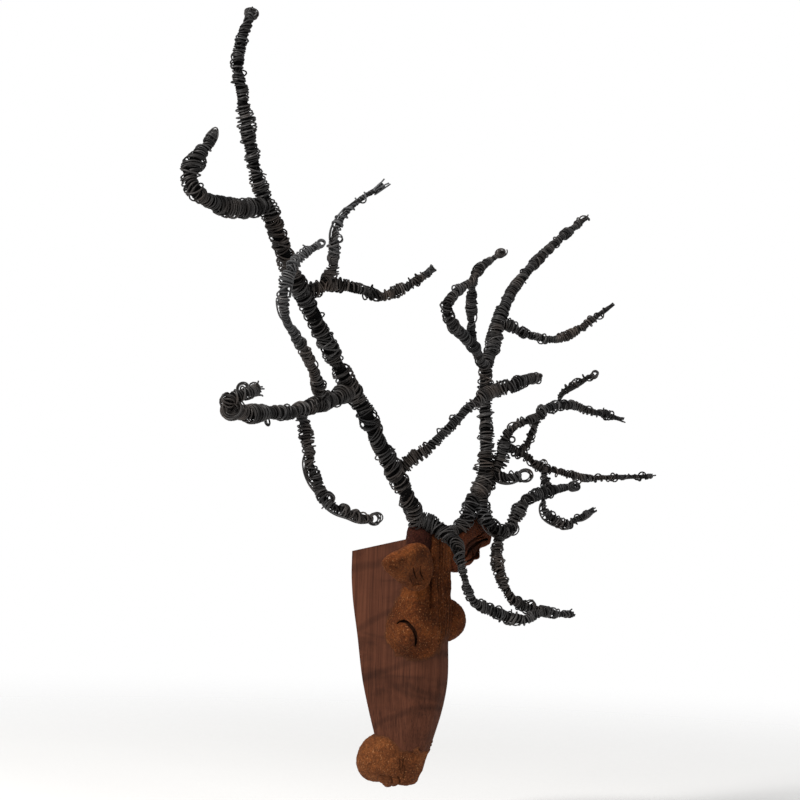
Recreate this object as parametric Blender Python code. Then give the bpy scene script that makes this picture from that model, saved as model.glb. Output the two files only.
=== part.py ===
"""Wall-hung stag's head: a tapered wooden block, clay features and two branching wire antlers.

Metres, +Z up.  The wall is the plane y = 0 and the face looks along -Y.  The origin is the
middle of the small flat at the top of the block's back, where the head bears on the wall.
"""
import math

import bmesh
import bpy
from mathutils import Matrix, Vector

MM = 0.001                      # routes and outlines below are written in millimetres
GAP = 0.0003                    # clearance kept between touching pieces

# ---- wooden block ---------------------------------------------------------------------------
# (height, back of the section, front of the section, half width, width of the front chamfers)
BLOCK_SECTIONS = [
    (-15, 0, -70.5, 21, 14),
    (-50, -7, -72.5, 21, 14),
    (-85, -14, -73, 20.5, 14),
    (-103, -19, -69.5, 19.5, 13),
    (-120, -24.5, -64.5, 18, 12),
    (-134, -29, -60, 16.5, 11),
]
BLOCK_TOP_BACK = 15             # height of the top cut at the wall
BLOCK_TOP_FRONT = 28.5          # the top cut climbs to here where the chamfers start, then runs level
BLOCK_EDGE_SOFTENING = 0.0008
CHAMFER_SHIFT = math.tan(math.radians(22.5))    # how far a chamfer's ends move per unit of growth
NAIL_HOLE_RADIUS = 0.003
NAIL_HOLE_DEPTH = 0.014
NAIL_HOLE_RISE = 0.002          # the hole climbs inward, so that the head can't slip off its nail
NAIL_HOLE_HEIGHT = 0.008        # above the origin, so that the flat around the origin is whole
CUTTER_OVERRUN = 0.004

# ---- clay -----------------------------------------------------------------------------------
CREST_HALF_WIDTH = 13
CREST_THICKNESS = 3.4
CREST_SHOULDER = 4.2            # its edges lie this far behind the block's front
CREST_DEPTH = 9
CREST_LEVELS = [                # (height, share of the full thickness) from the top down
    (31.5, 0.55), (27.5, 1.0), (12, 1.0), (-15, 1.0), (-32, 0.95), (-44, 0.8), (-50, 0.35),
]
EYES = {                        # centre and radii of the two swellings round the eyes
    "left": ((-21, -55, -42), (16, 21, 23)),
    "right": ((21, -55, -36), (16, 21, 23)),
}
EARS = {                        # centre, half length, half thickness, half height, tilt in degrees
    "left": ((-44, -66, 8), 32, 5, 17, 3),
    "right": ((45, -65, 18), 33, 5, 15, 20),
}
PEDICLES = {                    # clay domes that the antlers grow out of
    "left": ((-15, -57, 30), (9.5, 9.5, 11)),
    "right": ((15, -57, 30), (9.5, 9.5, 10)),
}
CHIN_CENTRE = (0, -18.5, -143)
CHIN_RADII = (23, 16, 16.5)
MUZZLE_HALF_WIDTH = 16
MUZZLE_TOP = -134.3
MUZZLE_OUTLINE = [              # side view of the muzzle as (y, z), from its back top corner round
    (-29, MUZZLE_TOP), (-22, -150), (-20, -158), (-24.5, -165), (-30, -163.5),
    (-39, -162.5), (-48, -163), (-53, -158), (-57, -144), (-60, MUZZLE_TOP),
]
MUZZLE_CHEEKS = [               # (place across as a share of the half width, size of the outline)
    (-1.0, 0.86), (-0.82, 1.0), (0.82, 1.0), (1.0, 0.86),
]

# ---- antlers --------------------------------------------------------------------------------
CORE_SHARE = 0.42               # the armature's radius as a share of the winding's
CORE_SMALLEST = 0.0009
CORE_SIDES = 5
LONGEST_STEP = 0.017            # rings along a branch are no further apart than this
SHORTEST_LAST_STEP = 0.006
SHARPEST_TURN = math.radians(24)
BEAM_SIDES = 8
TINE_SIDES = 6

# The armature's peg, from its blind end inside the block up to where the winding starts.
PEGS = {
    "left": [(-11, -49, 3, 6), (-13.5, -53.5, 20, 6)],
    "right": [(11, -49, 3, 6), (12, -54, 18, 6)],
}

# Each branch is a list of (x, y, z, winding radius) in millimetres, from its root to its tip.
# A root is moved onto its parent's centre line, and so is the tip of a branch that joins one.
LEFT_BRANCHES = [
    ("left_beam", None, None, [
        (-17, -57, 36, 6.4), (-35, -57, 60, 6.8), (-61, -54, 88, 7.1), (-85, -50, 120, 6.9),
        (-119, -46, 155, 6.3), (-147, -43, 189, 6.7), (-178, -41, 223, 6.2), (-197, -38, 255, 6.3),
        (-213, -34, 285, 5.6), (-223, -31, 318, 5.5), (-232, -30, 349, 5.2), (-236, -30, 366, 4.9),
        (-231, -32, 389, 4.3), (-224, -33, 402, 3.4)]),
    ("left_brow_tine", "left_beam", None, [
        (-23, -60, 41, 6), (-16, -68, 39, 6.3), (-13, -78, 33, 6.5), (-14, -88, 25, 5.8),
        (-18, -96, 10, 3.9), (-17, -100, -4, 3.2), (-14, -103, -15, 3), (-5, -107, -21, 4.6),
        (10, -118, -28, 5.2), (22, -127, -31, 4.8), (33, -136, -26, 2.8)]),
    ("left_cross_tine", "left_beam", None, [
        (-48, -56, 78, 5.6), (-42, -66, 89, 5.2), (-36, -76, 98, 4.2), (-28, -90, 115, 4.5),
        (-20, -100, 128, 4.1), (-9, -107, 138, 4.5), (9, -118, 145, 4.9), (21, -123, 149, 5.1),
        (34, -128, 152, 3.4)]),
    ("left_hook_tine", "left_beam", None, [
        (-105, -48, 136, 6.2), (-125, -50, 132, 6.2), (-148, -52, 128, 5.8), (-172, -53, 123, 5.6),
        (-199, -53, 120, 5), (-224, -52, 119, 5.5), (-248, -50, 119, 5.5), (-268, -54, 122, 5),
        (-281, -62, 127, 4.6), (-270, -68, 133, 4.3), (-248, -70, 137, 3.4)]),
    ("left_drop_tine", "left_hook_tine", None, [
        (-176, -54, 121, 4.4), (-176, -57, 109, 4), (-177, -61, 97, 4), (-179, -64, 84, 3.1),
        (-176, -70, 68, 2.3), (-174, -76, 58, 2.5), (-162, -84, 51, 3.2), (-150, -89, 47, 3),
        (-141, -93, 46, 2.9)]),
    ("left_climbing_tine", "left_hook_tine", None, [
        (-148, -52, 129, 4.7), (-161, -57, 141, 4.7), (-176, -61, 154, 3.9), (-194, -65, 166, 3.5),
        (-213, -69, 176, 3.5), (-227, -72, 185, 3.8), (-237, -76, 202, 4.1), (-235, -80, 220, 4.1),
        (-226, -84, 230, 4), (-216, -90, 238, 2.6)]),
    ("left_crown_hook", "left_beam", None, [
        (-203, -37, 267, 6), (-220, -35, 263, 6.7), (-236, -33, 262, 6.5), (-253, -31, 263, 5.8),
        (-269, -30, 266, 5.6), (-281, -28, 273, 6.3), (-284, -27, 284, 6.7), (-277, -28, 295, 5.6),
        (-268, -30, 304, 3.9), (-265, -32, 311, 3.2)]),
    ("left_fork_wisp", "left_beam", None, [
        (-165, -42, 207, 5.7), (-150, -50, 211, 5.8), (-146, -56, 223, 4.6), (-151, -60, 238, 3),
        (-157, -65, 252, 2.4), (-152, -71, 266, 2.5), (-142, -76, 275, 2.6), (-128, -86, 286, 2.3)]),
    ("left_fork_tine", "left_fork_wisp", None, [
        (-149, -51, 213, 5.1), (-137, -58, 213, 4.7), (-122, -71, 209, 3.7), (-112, -79, 207, 3.1),
        (-98, -91, 215, 3.5), (-89, -97, 222, 2.7), (-82, -102, 228, 2)]),
]
RIGHT_BRANCHES = [
    ("right_beam", None, None, [
        (14, -58, 34, 6.1), (23, -62, 38, 6.2), (33, -67, 46, 6.5), (43, -70, 60, 6.6),
        (52, -72, 78, 6.7), (54, -72, 94, 6.6), (54, -71, 111, 6.2), (54, -70, 128, 5.8),
        (56, -68, 159, 5.4), (65, -67, 172, 5.1), (77, -66, 196, 5), (95, -67, 220, 4.6),
        (122, -71, 243, 3.9), (154, -77, 266, 3.3), (182, -83, 283, 2.4)]),
    ("right_middle_tine", "right_beam", None, [
        (45, -71, 60, 4.5), (55, -75, 67, 5), (60, -77, 79, 5), (63, -80, 90, 5.2),
        (63, -83, 103, 5), (70, -88, 114, 3.8),
        (86, -95, 121, 3.8), (98, -99, 128, 3.9), (112, -103, 131, 3.7), (126, -107, 132, 3),
        (140, -113, 128, 2.9), (162, -119, 125, 3.1), (181, -124, 122, 2)]),
    ("right_long_tine", "right_middle_tine", None, [
        (62, -82, 99, 4.6), (75, -86, 95, 3.9), (88, -90, 90, 3.5), (98, -94, 84, 3.5),
        (117, -103, 79, 3.2), (141, -114, 75, 2.8), (174, -126, 76, 2.5), (207, -139, 77, 2.1)]),
    ("right_middle_link", "right_long_tine", "right_middle_tine", [
        (78, -87, 94, 3.5), (86, -90, 100, 3.5), (89, -92, 109, 3.4), (91, -96, 122, 3.3)]),
    ("right_middle_spur", "right_middle_tine", None, [
        (111, -103, 131, 2.5), (109, -106, 141, 2), (118, -112, 148, 1.9), (134, -120, 156, 2.2)]),
    ("right_stub_tine", "right_middle_tine", None, [
        (60, -77, 77, 4.4), (63, -86, 75, 3.4), (68, -96, 76, 3.8)]),
    ("right_low_tine", "right_beam", None, [
        (46, -71, 64, 5.2), (46, -75, 54, 5.3), (50, -79, 44, 4.9), (58, -83, 35, 4.2),
        (67, -87, 34, 3.8), (70, -91, 45, 4.1), (73, -96, 57, 3.8), (84, -102, 62, 3.8),
        (97, -107, 65, 4.3), (119, -114, 68, 2.8)]),
    ("right_down_tine", "right_low_tine", None, [
        (58, -82, 35, 3.9), (54, -85, 25, 3.9), (49, -88, 13, 4.2), (44, -94, -1, 3.5),
        (46, -101, -15, 3.4), (55, -105, -22, 3.6), (72, -110, -25, 3.5), (93, -117, -29, 2.8),
        (109, -122, -31, 2.2)]),
    ("right_low_link", "right_long_tine", "right_low_tine", [
        (103, -97, 82, 3.2), (98, -100, 74, 3.2), (94, -106, 64, 3.1)]),
    ("right_low_tail", "right_low_tine", None, [
        (90, -105, 63, 2.8), (85, -107, 54, 3), (87, -110, 46, 3.5), (101, -118, 39, 3.1),
        (110, -124, 44, 2.7), (122, -130, 50, 2.2)]),
    ("right_loop_outer", "right_beam", None, [
        (56, -68, 158, 4.6), (38, -73, 166, 4.2), (19, -79, 174, 3.9), (-8, -85, 182, 3.8),
        (-32, -90, 189, 3.7), (-45, -94, 201, 3.6), (-39, -97, 213, 3.4), (-18, -98, 223, 3),
        (-8, -97, 232, 2.9), (8, -98, 239, 2.6), (21, -103, 247, 2.6)]),
    ("right_loop_inner", "right_loop_outer", "right_loop_outer", [
        (16, -80, 176, 3.4), (6, -84, 187, 3.4), (-2, -88, 198, 3.4), (-10, -92, 209, 3.3),
        (-18, -98, 223, 3.2)]),
    ("right_top_tine", "right_beam", None, [
        (76, -66, 194, 4.7), (84, -71, 193, 4.5), (94, -77, 188, 3.6), (104, -82, 185, 3),
        (118, -88, 183, 3.2), (135, -96, 187, 3.3), (153, -104, 198, 3.1), (171, -116, 213, 1.9)]),
]

COLOURS = {                     # base colour, roughness, metallic
    "wood": ((0.085, 0.032, 0.020), 0.55, 0.0),
    "clay": ((0.215, 0.070, 0.022), 0.85, 0.0),
    "wire": ((0.030, 0.027, 0.026), 0.50, 0.85),
}


def clear_scene():
    for item in list(bpy.data.objects):
        bpy.data.objects.remove(item, do_unlink=True)


def give_material(item, kind):
    """A Principled material of the given kind, the piece's own."""
    colour, roughness, metallic = COLOURS[kind]
    material = bpy.data.materials.new(item.name + "_" + kind)
    material.use_nodes = True
    shader = material.node_tree.nodes["Principled BSDF"]
    shader.inputs["Base Color"].default_value = (*colour, 1.0)
    shader.inputs["Roughness"].default_value = roughness
    shader.inputs["Metallic"].default_value = metallic
    item.data.materials.append(material)


def new_object(name, points, faces):
    """An object from points and faces, with every face turned outward."""
    mesh = bpy.data.meshes.new(name)
    mesh.from_pydata([tuple(point) for point in points], [], faces)
    work = bmesh.new()
    work.from_mesh(mesh)
    bmesh.ops.recalc_face_normals(work, faces=work.faces)
    work.to_mesh(mesh)
    work.free()
    item = bpy.data.objects.new(name, mesh)
    bpy.context.scene.collection.objects.link(item)
    return item


def make_cutter(item):
    item.hide_render = True
    item.display_type = "WIRE"
    return item


def add_boolean(item, other, operation="DIFFERENCE"):
    modifier = item.modifiers.new(operation.lower() + "_" + other.name, "BOOLEAN")
    modifier.operation = operation
    modifier.object = other
    modifier.solver = "EXACT"


def shade_round(item, angle_degrees=50):
    item.data.shade_smooth()
    item.data.set_sharp_from_angle(angle=math.radians(angle_degrees))


def loft(name, sections):
    """A closed skin over sections of equal length; each section is a loop of points."""
    count = len(sections[0])
    points = [point for section in sections for point in section]
    faces = []
    for level in range(len(sections) - 1):
        low, high = level * count, (level + 1) * count
        for side in range(count):
            after = (side + 1) % count
            faces.append((low + side, low + after, high + after, high + side))
    last = (len(sections) - 1) * count
    faces.append(tuple(reversed(range(count))))
    faces.append(tuple(range(last, last + count)))
    return new_object(name, points, faces)


# ---- head -----------------------------------------------------------------------------------
def block_section(back, front, half_width, chamfer, grow):
    """Plan of the block at one height, anticlockwise seen from below, grown by a clearance."""
    half = half_width + grow
    front_half = half_width - chamfer + grow * CHAMFER_SHIFT
    shoulder = front + chamfer - grow * CHAMFER_SHIFT
    return [(-half, back + grow), (-half, shoulder), (-front_half, front - grow),
            (front_half, front - grow), (half, shoulder), (half, back + grow)]


def block_solid(name, grow=0.0):
    """The tapered block; its top is cut in two planes, so the top cap is two faces."""
    top_z = [BLOCK_TOP_BACK, BLOCK_TOP_FRONT, BLOCK_TOP_FRONT, BLOCK_TOP_FRONT, BLOCK_TOP_FRONT,
             BLOCK_TOP_BACK]
    grow_mm = grow / MM
    plan = block_section(*BLOCK_SECTIONS[0][1:], grow_mm)
    sections = [[Vector((x, y, z + grow_mm)) * MM for (x, y), z in zip(plan, top_z)]]
    for height, back, front, half_width, chamfer in BLOCK_SECTIONS:
        plan = block_section(back, front, half_width, chamfer, grow_mm)
        is_last = height == BLOCK_SECTIONS[-1][0]
        level = height - grow_mm if is_last else height
        sections.append([Vector((x, y, level)) * MM for x, y in plan])
    count = len(plan)
    points = [point for section in sections for point in section]
    faces = [(0, 1, 4, 5), (1, 2, 3, 4)]
    for level in range(len(sections) - 1):
        upper, lower = level * count, (level + 1) * count
        for side in range(count):
            after = (side + 1) % count
            faces.append((upper + after, upper + side, lower + side, lower + after))
    last = (len(sections) - 1) * count
    faces.append(tuple(reversed(range(last, last + count))))
    return new_object(name, points, faces)


def cylinder_cutter(name, radius, start, end, sides=16):
    direction = (end - start).normalized()
    across = direction.orthogonal().normalized()
    up = direction.cross(across)
    rings = []
    for centre in (start, end):
        rings.append([centre + radius * (math.cos(turn) * across + math.sin(turn) * up)
                      for turn in (2 * math.pi * step / sides for step in range(sides))])
    return make_cutter(loft(name, rings))


def build_block(core_cutters):
    block = block_solid("head_block")
    bevel = block.modifiers.new("softened_edges", "BEVEL")
    bevel.width = BLOCK_EDGE_SOFTENING
    bevel.segments = 1
    bevel.limit_method = "ANGLE"
    bevel.angle_limit = math.radians(30)
    mouth = Vector((0, CUTTER_OVERRUN, NAIL_HOLE_HEIGHT))
    inner_end = Vector((0, -NAIL_HOLE_DEPTH, NAIL_HOLE_HEIGHT + NAIL_HOLE_RISE))
    nail_hole = cylinder_cutter("cut_nail_hole", NAIL_HOLE_RADIUS, mouth, inner_end)
    add_boolean(block, nail_hole)
    for cutter in core_cutters:
        add_boolean(block, cutter)
    give_material(block, "wood")


def ellipsoid(name, centre, radii, grow=0.0, tilt=0.0, segments=18, rings=10):
    """A closed ellipsoid, turned by tilt about the Y axis; radii and centre in millimetres."""
    points = []
    turn = Matrix.Rotation(tilt, 3, "Y")
    middle = Vector(centre) * MM
    size = Vector(radii) * MM + Vector((grow, grow, grow))
    points.append(middle + turn @ Vector((0, 0, size.z)))
    for ring in range(1, rings):
        polar = math.pi * ring / rings
        for segment in range(segments):
            angle = 2 * math.pi * (segment + 0.5 * (ring % 2)) / segments
            unit = Vector((math.sin(polar) * math.cos(angle), math.sin(polar) * math.sin(angle),
                           math.cos(polar)))
            points.append(middle + turn @ Vector((unit.x * size.x, unit.y * size.y, unit.z * size.z)))
    points.append(middle + turn @ Vector((0, 0, -size.z)))
    faces = [(0, 1 + segment, 1 + (segment + 1) % segments) for segment in range(segments)]
    for ring in range(rings - 2):
        upper, lower = 1 + ring * segments, 1 + (ring + 1) * segments
        shift = ring % 2
        for segment in range(segments):
            after = (segment + 1) % segments
            if shift:
                faces.append((upper + segment, lower + segment, lower + after))
                faces.append((upper + segment, lower + after, upper + after))
            else:
                faces.append((upper + segment, lower + segment, upper + after))
                faces.append((lower + segment, lower + after, upper + after))
    last = len(points) - 1
    start = 1 + (rings - 2) * segments
    for segment in range(segments):
        faces.append((last, start + (segment + 1) % segments, start + segment))
    return new_object(name, points, faces)


def front_at(height):
    """Front of the block at a height, read between its sections."""
    sections = BLOCK_SECTIONS
    if height >= sections[0][0]:
        return sections[0][2]
    for upper, lower in zip(sections, sections[1:]):
        if height >= lower[0]:
            share = (upper[0] - height) / (upper[0] - lower[0])
            return upper[2] + share * (lower[2] - upper[2])
    return sections[-1][2]


def crest_solid(name, grow=0.0):
    """The forelock: a thin clay strip over the block's front, lapping onto its top."""
    extra = grow / MM
    half = CREST_HALF_WIDTH + extra
    sections = []
    for level, full in CREST_LEVELS:
        front = front_at(level)
        out = CREST_THICKNESS * full + extra
        edge = front + CREST_SHOULDER - out / 2
        plan = [(-half, front + CREST_DEPTH), (-half, edge), (-half * 0.6, front - out),
                (0, front - out * 1.12), (half * 0.6, front - out), (half, edge),
                (half, front + CREST_DEPTH)]
        if level == CREST_LEVELS[0][0]:
            level += extra
        if level == CREST_LEVELS[-1][0]:
            level -= extra
        sections.append([Vector((x, y, level)) * MM for x, y in plan])
    sections.reverse()
    return loft(name, sections)


def build_crest(block_cutter):
    crest = crest_solid("forelock_crest")
    add_boolean(crest, block_cutter)
    shade_round(crest)
    give_material(crest, "clay")


def build_eye(side, cutters):
    centre, radii = EYES[side]
    eye = ellipsoid("eye_mound_" + side, centre, radii)
    for cutter in cutters:
        add_boolean(eye, cutter)
    shade_round(eye)
    give_material(eye, "clay")


def build_ear(side, cutters):
    centre, half_length, half_thickness, half_height, tilt = EARS[side]
    outward = 1 if side == "left" else -1
    ear = ellipsoid("ear_" + side, centre, (half_length, half_thickness, half_height),
                    tilt=outward * math.radians(tilt))
    for cutter in cutters:
        add_boolean(ear, cutter)
    shade_round(ear)
    give_material(ear, "clay")


def build_pedicle(side, cutters):
    pedicle = ellipsoid("pedicle_" + side, *PEDICLES[side])
    for cutter in cutters:
        add_boolean(pedicle, cutter)
    shade_round(pedicle)
    give_material(pedicle, "clay")


def muzzle_solid(name, grow=0.0):
    """The muzzle's side outline drawn across the face, with rounded cheeks."""
    extra = grow / MM
    middle = Vector((sum(y for y, z in MUZZLE_OUTLINE), sum(z for y, z in MUZZLE_OUTLINE)))
    middle /= len(MUZZLE_OUTLINE)
    sections = []
    for across, scale in MUZZLE_CHEEKS:
        x = across * (MUZZLE_HALF_WIDTH + extra)
        section = []
        for y, z in MUZZLE_OUTLINE:
            arm = Vector((y, z)) - middle
            grown = middle + arm * scale + arm.normalized() * extra
            height = MUZZLE_TOP + extra if z == MUZZLE_TOP else grown.y
            section.append(Vector((x, grown.x, height)) * MM)
        sections.append(section)
    return loft(name, sections)


def build_muzzle():
    muzzle = muzzle_solid("muzzle")
    shade_round(muzzle, 40)
    give_material(muzzle, "clay")


def build_chin(cutters):
    chin = ellipsoid("chin", CHIN_CENTRE, CHIN_RADII)
    for cutter in cutters:
        add_boolean(chin, cutter)
    shade_round(chin)
    give_material(chin, "clay")


# ---- antlers --------------------------------------------------------------------------------
def smooth_route(points, pieces=24):
    """A Catmull-Rom curve through (x, y, z, radius) points, sampled finely, in metres."""
    knots = [Vector(point) * MM for point in points]
    padded = [2 * knots[0] - knots[1]] + knots + [2 * knots[-1] - knots[-2]]
    fine = []
    for index in range(1, len(padded) - 2):
        before, start, end, beyond = padded[index - 1:index + 3]
        for step in range(pieces):
            t = step / pieces
            fine.append(0.5 * ((2 * start) + (end - before) * t
                               + (2 * before - 5 * start + 4 * end - beyond) * t * t
                               + (3 * start - before - 3 * end + beyond) * t * t * t))
    fine.append(knots[-1])
    return fine


def nearest_on(route, point):
    return min(route, key=lambda other: (other.xyz - point.xyz).length)


def thin_out(route):
    """Keep the points where a ring is needed: after a long step or a marked turn."""
    kept = [route[0]]
    heading = (route[1] - route[0]).xyz.normalized()
    for index in range(1, len(route) - 1):
        here = route[index]
        direction = (route[index + 1] - here).xyz.normalized()
        turned = heading.angle(direction, 0.0)
        walked = (here - kept[-1]).xyz.length
        if walked > LONGEST_STEP or (turned > SHARPEST_TURN and walked > 0.8 * here.w):
            kept.append(here)
            heading = direction
    if (route[-1] - kept[-1]).xyz.length < SHORTEST_LAST_STEP and len(kept) > 2:
        kept.pop()
    kept.append(route[-1])
    return kept


def rings_along(stations, sides, radius_of):
    """Rings square to a line of stations, turned as little as possible from one to the next."""
    rings = []
    tangents = []
    for index in range(len(stations)):
        before = stations[max(index - 1, 0)].xyz
        after = stations[min(index + 1, len(stations) - 1)].xyz
        tangents.append((after - before).normalized())
    across = tangents[0].orthogonal().normalized()
    for station, tangent in zip(stations, tangents):
        across = (across - tangent * across.dot(tangent)).normalized()
        up = tangent.cross(across)
        radius = radius_of(station)
        rings.append([station.xyz + radius * (math.cos(turn) * across + math.sin(turn) * up)
                      for turn in (2 * math.pi * side / sides for side in range(sides))])
    return rings


def rod(name, stations, sides, radius_of):
    return loft(name, rings_along(stations, sides, radius_of))


def sleeve(name, stations, sides, outer_radius_of, inner_radius_of):
    """A tube with a wall: outer and inner skins joined by a flat ring at each end."""
    outer = rings_along(stations, sides, outer_radius_of)
    inner = rings_along(stations, sides, inner_radius_of)
    points = [point for ring in outer + inner for point in ring]
    offset = len(outer) * sides
    faces = []
    for level in range(len(outer) - 1):
        low, high = level * sides, (level + 1) * sides
        for side in range(sides):
            after = (side + 1) % sides
            faces.append((low + side, low + after, high + after, high + side))
            faces.append((offset + low + after, offset + low + side, offset + high + side,
                          offset + high + after))
    last = (len(outer) - 1) * sides
    for side in range(sides):
        after = (side + 1) % sides
        faces.append((side, offset + side, offset + after, after))
        faces.append((last + side, last + after, offset + last + after, offset + last + side))
    return new_object(name, points, faces)


def core_radius(station):
    return max(CORE_SHARE * station.w, CORE_SMALLEST)


def closest_gap(one, two):
    """Smallest distance between two branches' surfaces, measured at their fine points."""
    gap = 1.0
    for here in one[::4]:
        for there in two[::4]:
            gap = min(gap, (here - there).xyz.length - here.w - there.w)
    return gap


def route_branches(branches):
    """Fine routes of all branches, with roots and joined tips moved onto their neighbours."""
    routes = {}
    for name, parent, joins, points in branches:
        points = [Vector(point) for point in points]
        for end, neighbour in ((0, parent), (-1, joins)):
            if neighbour:
                on_neighbour = nearest_on(routes[neighbour], points[end] * MM) / MM
                points[end] = Vector((*on_neighbour.xyz, points[end].w))
        routes[name] = smooth_route(points)
    return routes


def near_dome(side, route):
    """True where a branch's surface comes within reach of its antler's clay dome."""
    centre, radii = PEDICLES[side]
    dome = Vector(centre) * MM
    return min((point.xyz - dome).length - point.w for point in route) < max(radii) * MM + 2 * GAP


def build_antler(side, branches, pedicle_cutter):
    """One antler: a welded armature with a peg, and a wire winding over each of its branches.

    Returns the cutter for the peg's hole in the block, and the cutters for the clay dome.
    """
    routes = route_branches(branches)
    beam = branches[0][0]
    peg = [Vector(point) * MM for point in PEGS[side]]
    core = None
    core_cutters, body_cutters, stations = {}, {}, {}
    for name, parent, joins, points in branches:
        stations[name] = thin_out(routes[name])
        core_line = stations[name]
        if name == beam:
            core_line = peg + core_line
        bar = rod("bar_" + name, core_line, CORE_SIDES, core_radius)
        first, second = core_line[0], core_line[1]
        stretched = first + (first - second).normalized() * GAP
        cut_line = [Vector((*stretched.xyz, first.w))] + core_line[1:]
        core_cutters[name] = make_cutter(rod("cut_core_" + name, cut_line, CORE_SIDES,
                                             lambda station: core_radius(station) + GAP))
        sides = BEAM_SIDES if name == beam else TINE_SIDES
        body_cutters[name] = make_cutter(rod("cut_body_" + name, stations[name], sides,
                                             lambda station: station.w + GAP))
        if name == beam:
            core = bar
            core.name = "antler_core_" + side
        else:
            add_boolean(core, make_cutter(bar), "UNION")
    give_material(core, "wire")

    order = [name for name, _, _, _ in branches]
    for index, name in enumerate(order):
        sides = BEAM_SIDES if name == beam else TINE_SIDES
        flat_share = math.cos(math.pi / sides)
        winding = sleeve("winding_" + name, stations[name], sides, lambda station: station.w,
                         lambda station: (core_radius(station) + GAP) / flat_share)
        for other_index, other in enumerate(order):
            if other == name or closest_gap(routes[name], routes[other]) > 2 * GAP:
                continue
            cutters = body_cutters if other_index < index else core_cutters
            add_boolean(winding, cutters[other])
        if near_dome(side, routes[name]):
            add_boolean(winding, pedicle_cutter)
        shade_round(winding)
        give_material(winding, "wire")
    return core_cutters[beam], [core_cutters[name] for name in order if near_dome(side, routes[name])]


def main():
    clear_scene()
    block_cutter = make_cutter(block_solid("cut_block", GAP))
    crest_cutter = make_cutter(crest_solid("cut_crest", GAP))
    muzzle_cutter = make_cutter(muzzle_solid("cut_muzzle", 2 * GAP))
    pedicle_cutters = {side: make_cutter(ellipsoid("cut_pedicle_" + side, *PEDICLES[side], GAP))
                       for side in PEDICLES}
    antlers = {"left": LEFT_BRANCHES, "right": RIGHT_BRANCHES}
    peg_cutters, dome_cutters = {}, {}
    for side, branches in antlers.items():
        peg_cutters[side], dome_cutters[side] = build_antler(side, branches, pedicle_cutters[side])
    build_block(peg_cutters.values())
    build_crest(block_cutter)
    build_muzzle()
    build_chin([block_cutter, muzzle_cutter])
    for side in ("left", "right"):
        build_eye(side, [block_cutter, crest_cutter])
        build_ear(side, [block_cutter, crest_cutter, pedicle_cutters[side]])
        build_pedicle(side, [block_cutter, crest_cutter, *dome_cutters[side]])


main()
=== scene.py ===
"""Looks for the wall-hung stag's head: carved wood, pressed clay and antlers wound from wire.

Lengths in the tables and in the sculpting functions are millimetres; meshes are made in metres.
The face looks along -Y, the wall is the plane y = 0 and +Z is up.
"""
import math
import random

import bmesh
import bpy
import numpy as np
from mathutils import Matrix, Vector


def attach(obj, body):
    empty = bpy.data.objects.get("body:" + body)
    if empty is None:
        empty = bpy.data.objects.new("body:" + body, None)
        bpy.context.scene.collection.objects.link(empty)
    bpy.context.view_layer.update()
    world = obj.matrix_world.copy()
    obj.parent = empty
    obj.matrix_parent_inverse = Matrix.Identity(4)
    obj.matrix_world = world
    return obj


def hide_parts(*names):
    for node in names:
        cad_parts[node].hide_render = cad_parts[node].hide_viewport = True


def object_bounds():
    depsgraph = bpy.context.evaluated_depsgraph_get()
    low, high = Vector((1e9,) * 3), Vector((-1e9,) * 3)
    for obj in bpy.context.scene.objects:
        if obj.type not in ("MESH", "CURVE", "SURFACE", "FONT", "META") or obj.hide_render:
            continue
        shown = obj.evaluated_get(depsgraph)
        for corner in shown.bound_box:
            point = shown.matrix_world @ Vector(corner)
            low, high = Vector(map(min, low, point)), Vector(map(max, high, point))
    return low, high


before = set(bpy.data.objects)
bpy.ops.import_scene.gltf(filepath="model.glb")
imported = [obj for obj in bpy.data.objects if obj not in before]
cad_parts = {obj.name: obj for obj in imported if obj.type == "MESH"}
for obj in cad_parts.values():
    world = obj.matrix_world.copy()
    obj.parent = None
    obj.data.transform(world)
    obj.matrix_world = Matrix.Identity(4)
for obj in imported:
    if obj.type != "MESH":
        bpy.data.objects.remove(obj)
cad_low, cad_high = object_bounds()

MM = 0.001
WIRE_RADIUS = 0.6
WIRE_SIDES = 6
TURN_STEPS = 16                 # straight pieces in one turn of wire
LINING_RADIUS = 0.8             # of the thicker turns that only close the gaps
ROUTE_STEP = 0.5                # spacing of the points along a branch
FIRST_SEED = 101                # of the random draws for the first branch; the next one's is 102

# Where the photograph was taken from, in metres and radians.
CAMERA_AZIMUTH = math.radians(-58)
CAMERA_ROLL = math.radians(1.9)
CAMERA_DISTANCE = 2.4
CAMERA_ACROSS = 0.02194         # the aim's place along the picture's width, from the origin
CAMERA_HEIGHT = 0.13157
CAMERA_LENS = 140.26            # in millimetres, as the sensor's width
CAMERA_SENSOR = 36
RIGHTWARD = np.array((math.cos(CAMERA_AZIMUTH), math.sin(CAMERA_AZIMUTH), 0))
TO_CAMERA = np.array((math.sin(CAMERA_AZIMUTH), -math.cos(CAMERA_AZIMUTH), 0))
UP = np.array((0, 0, 1))

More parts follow.
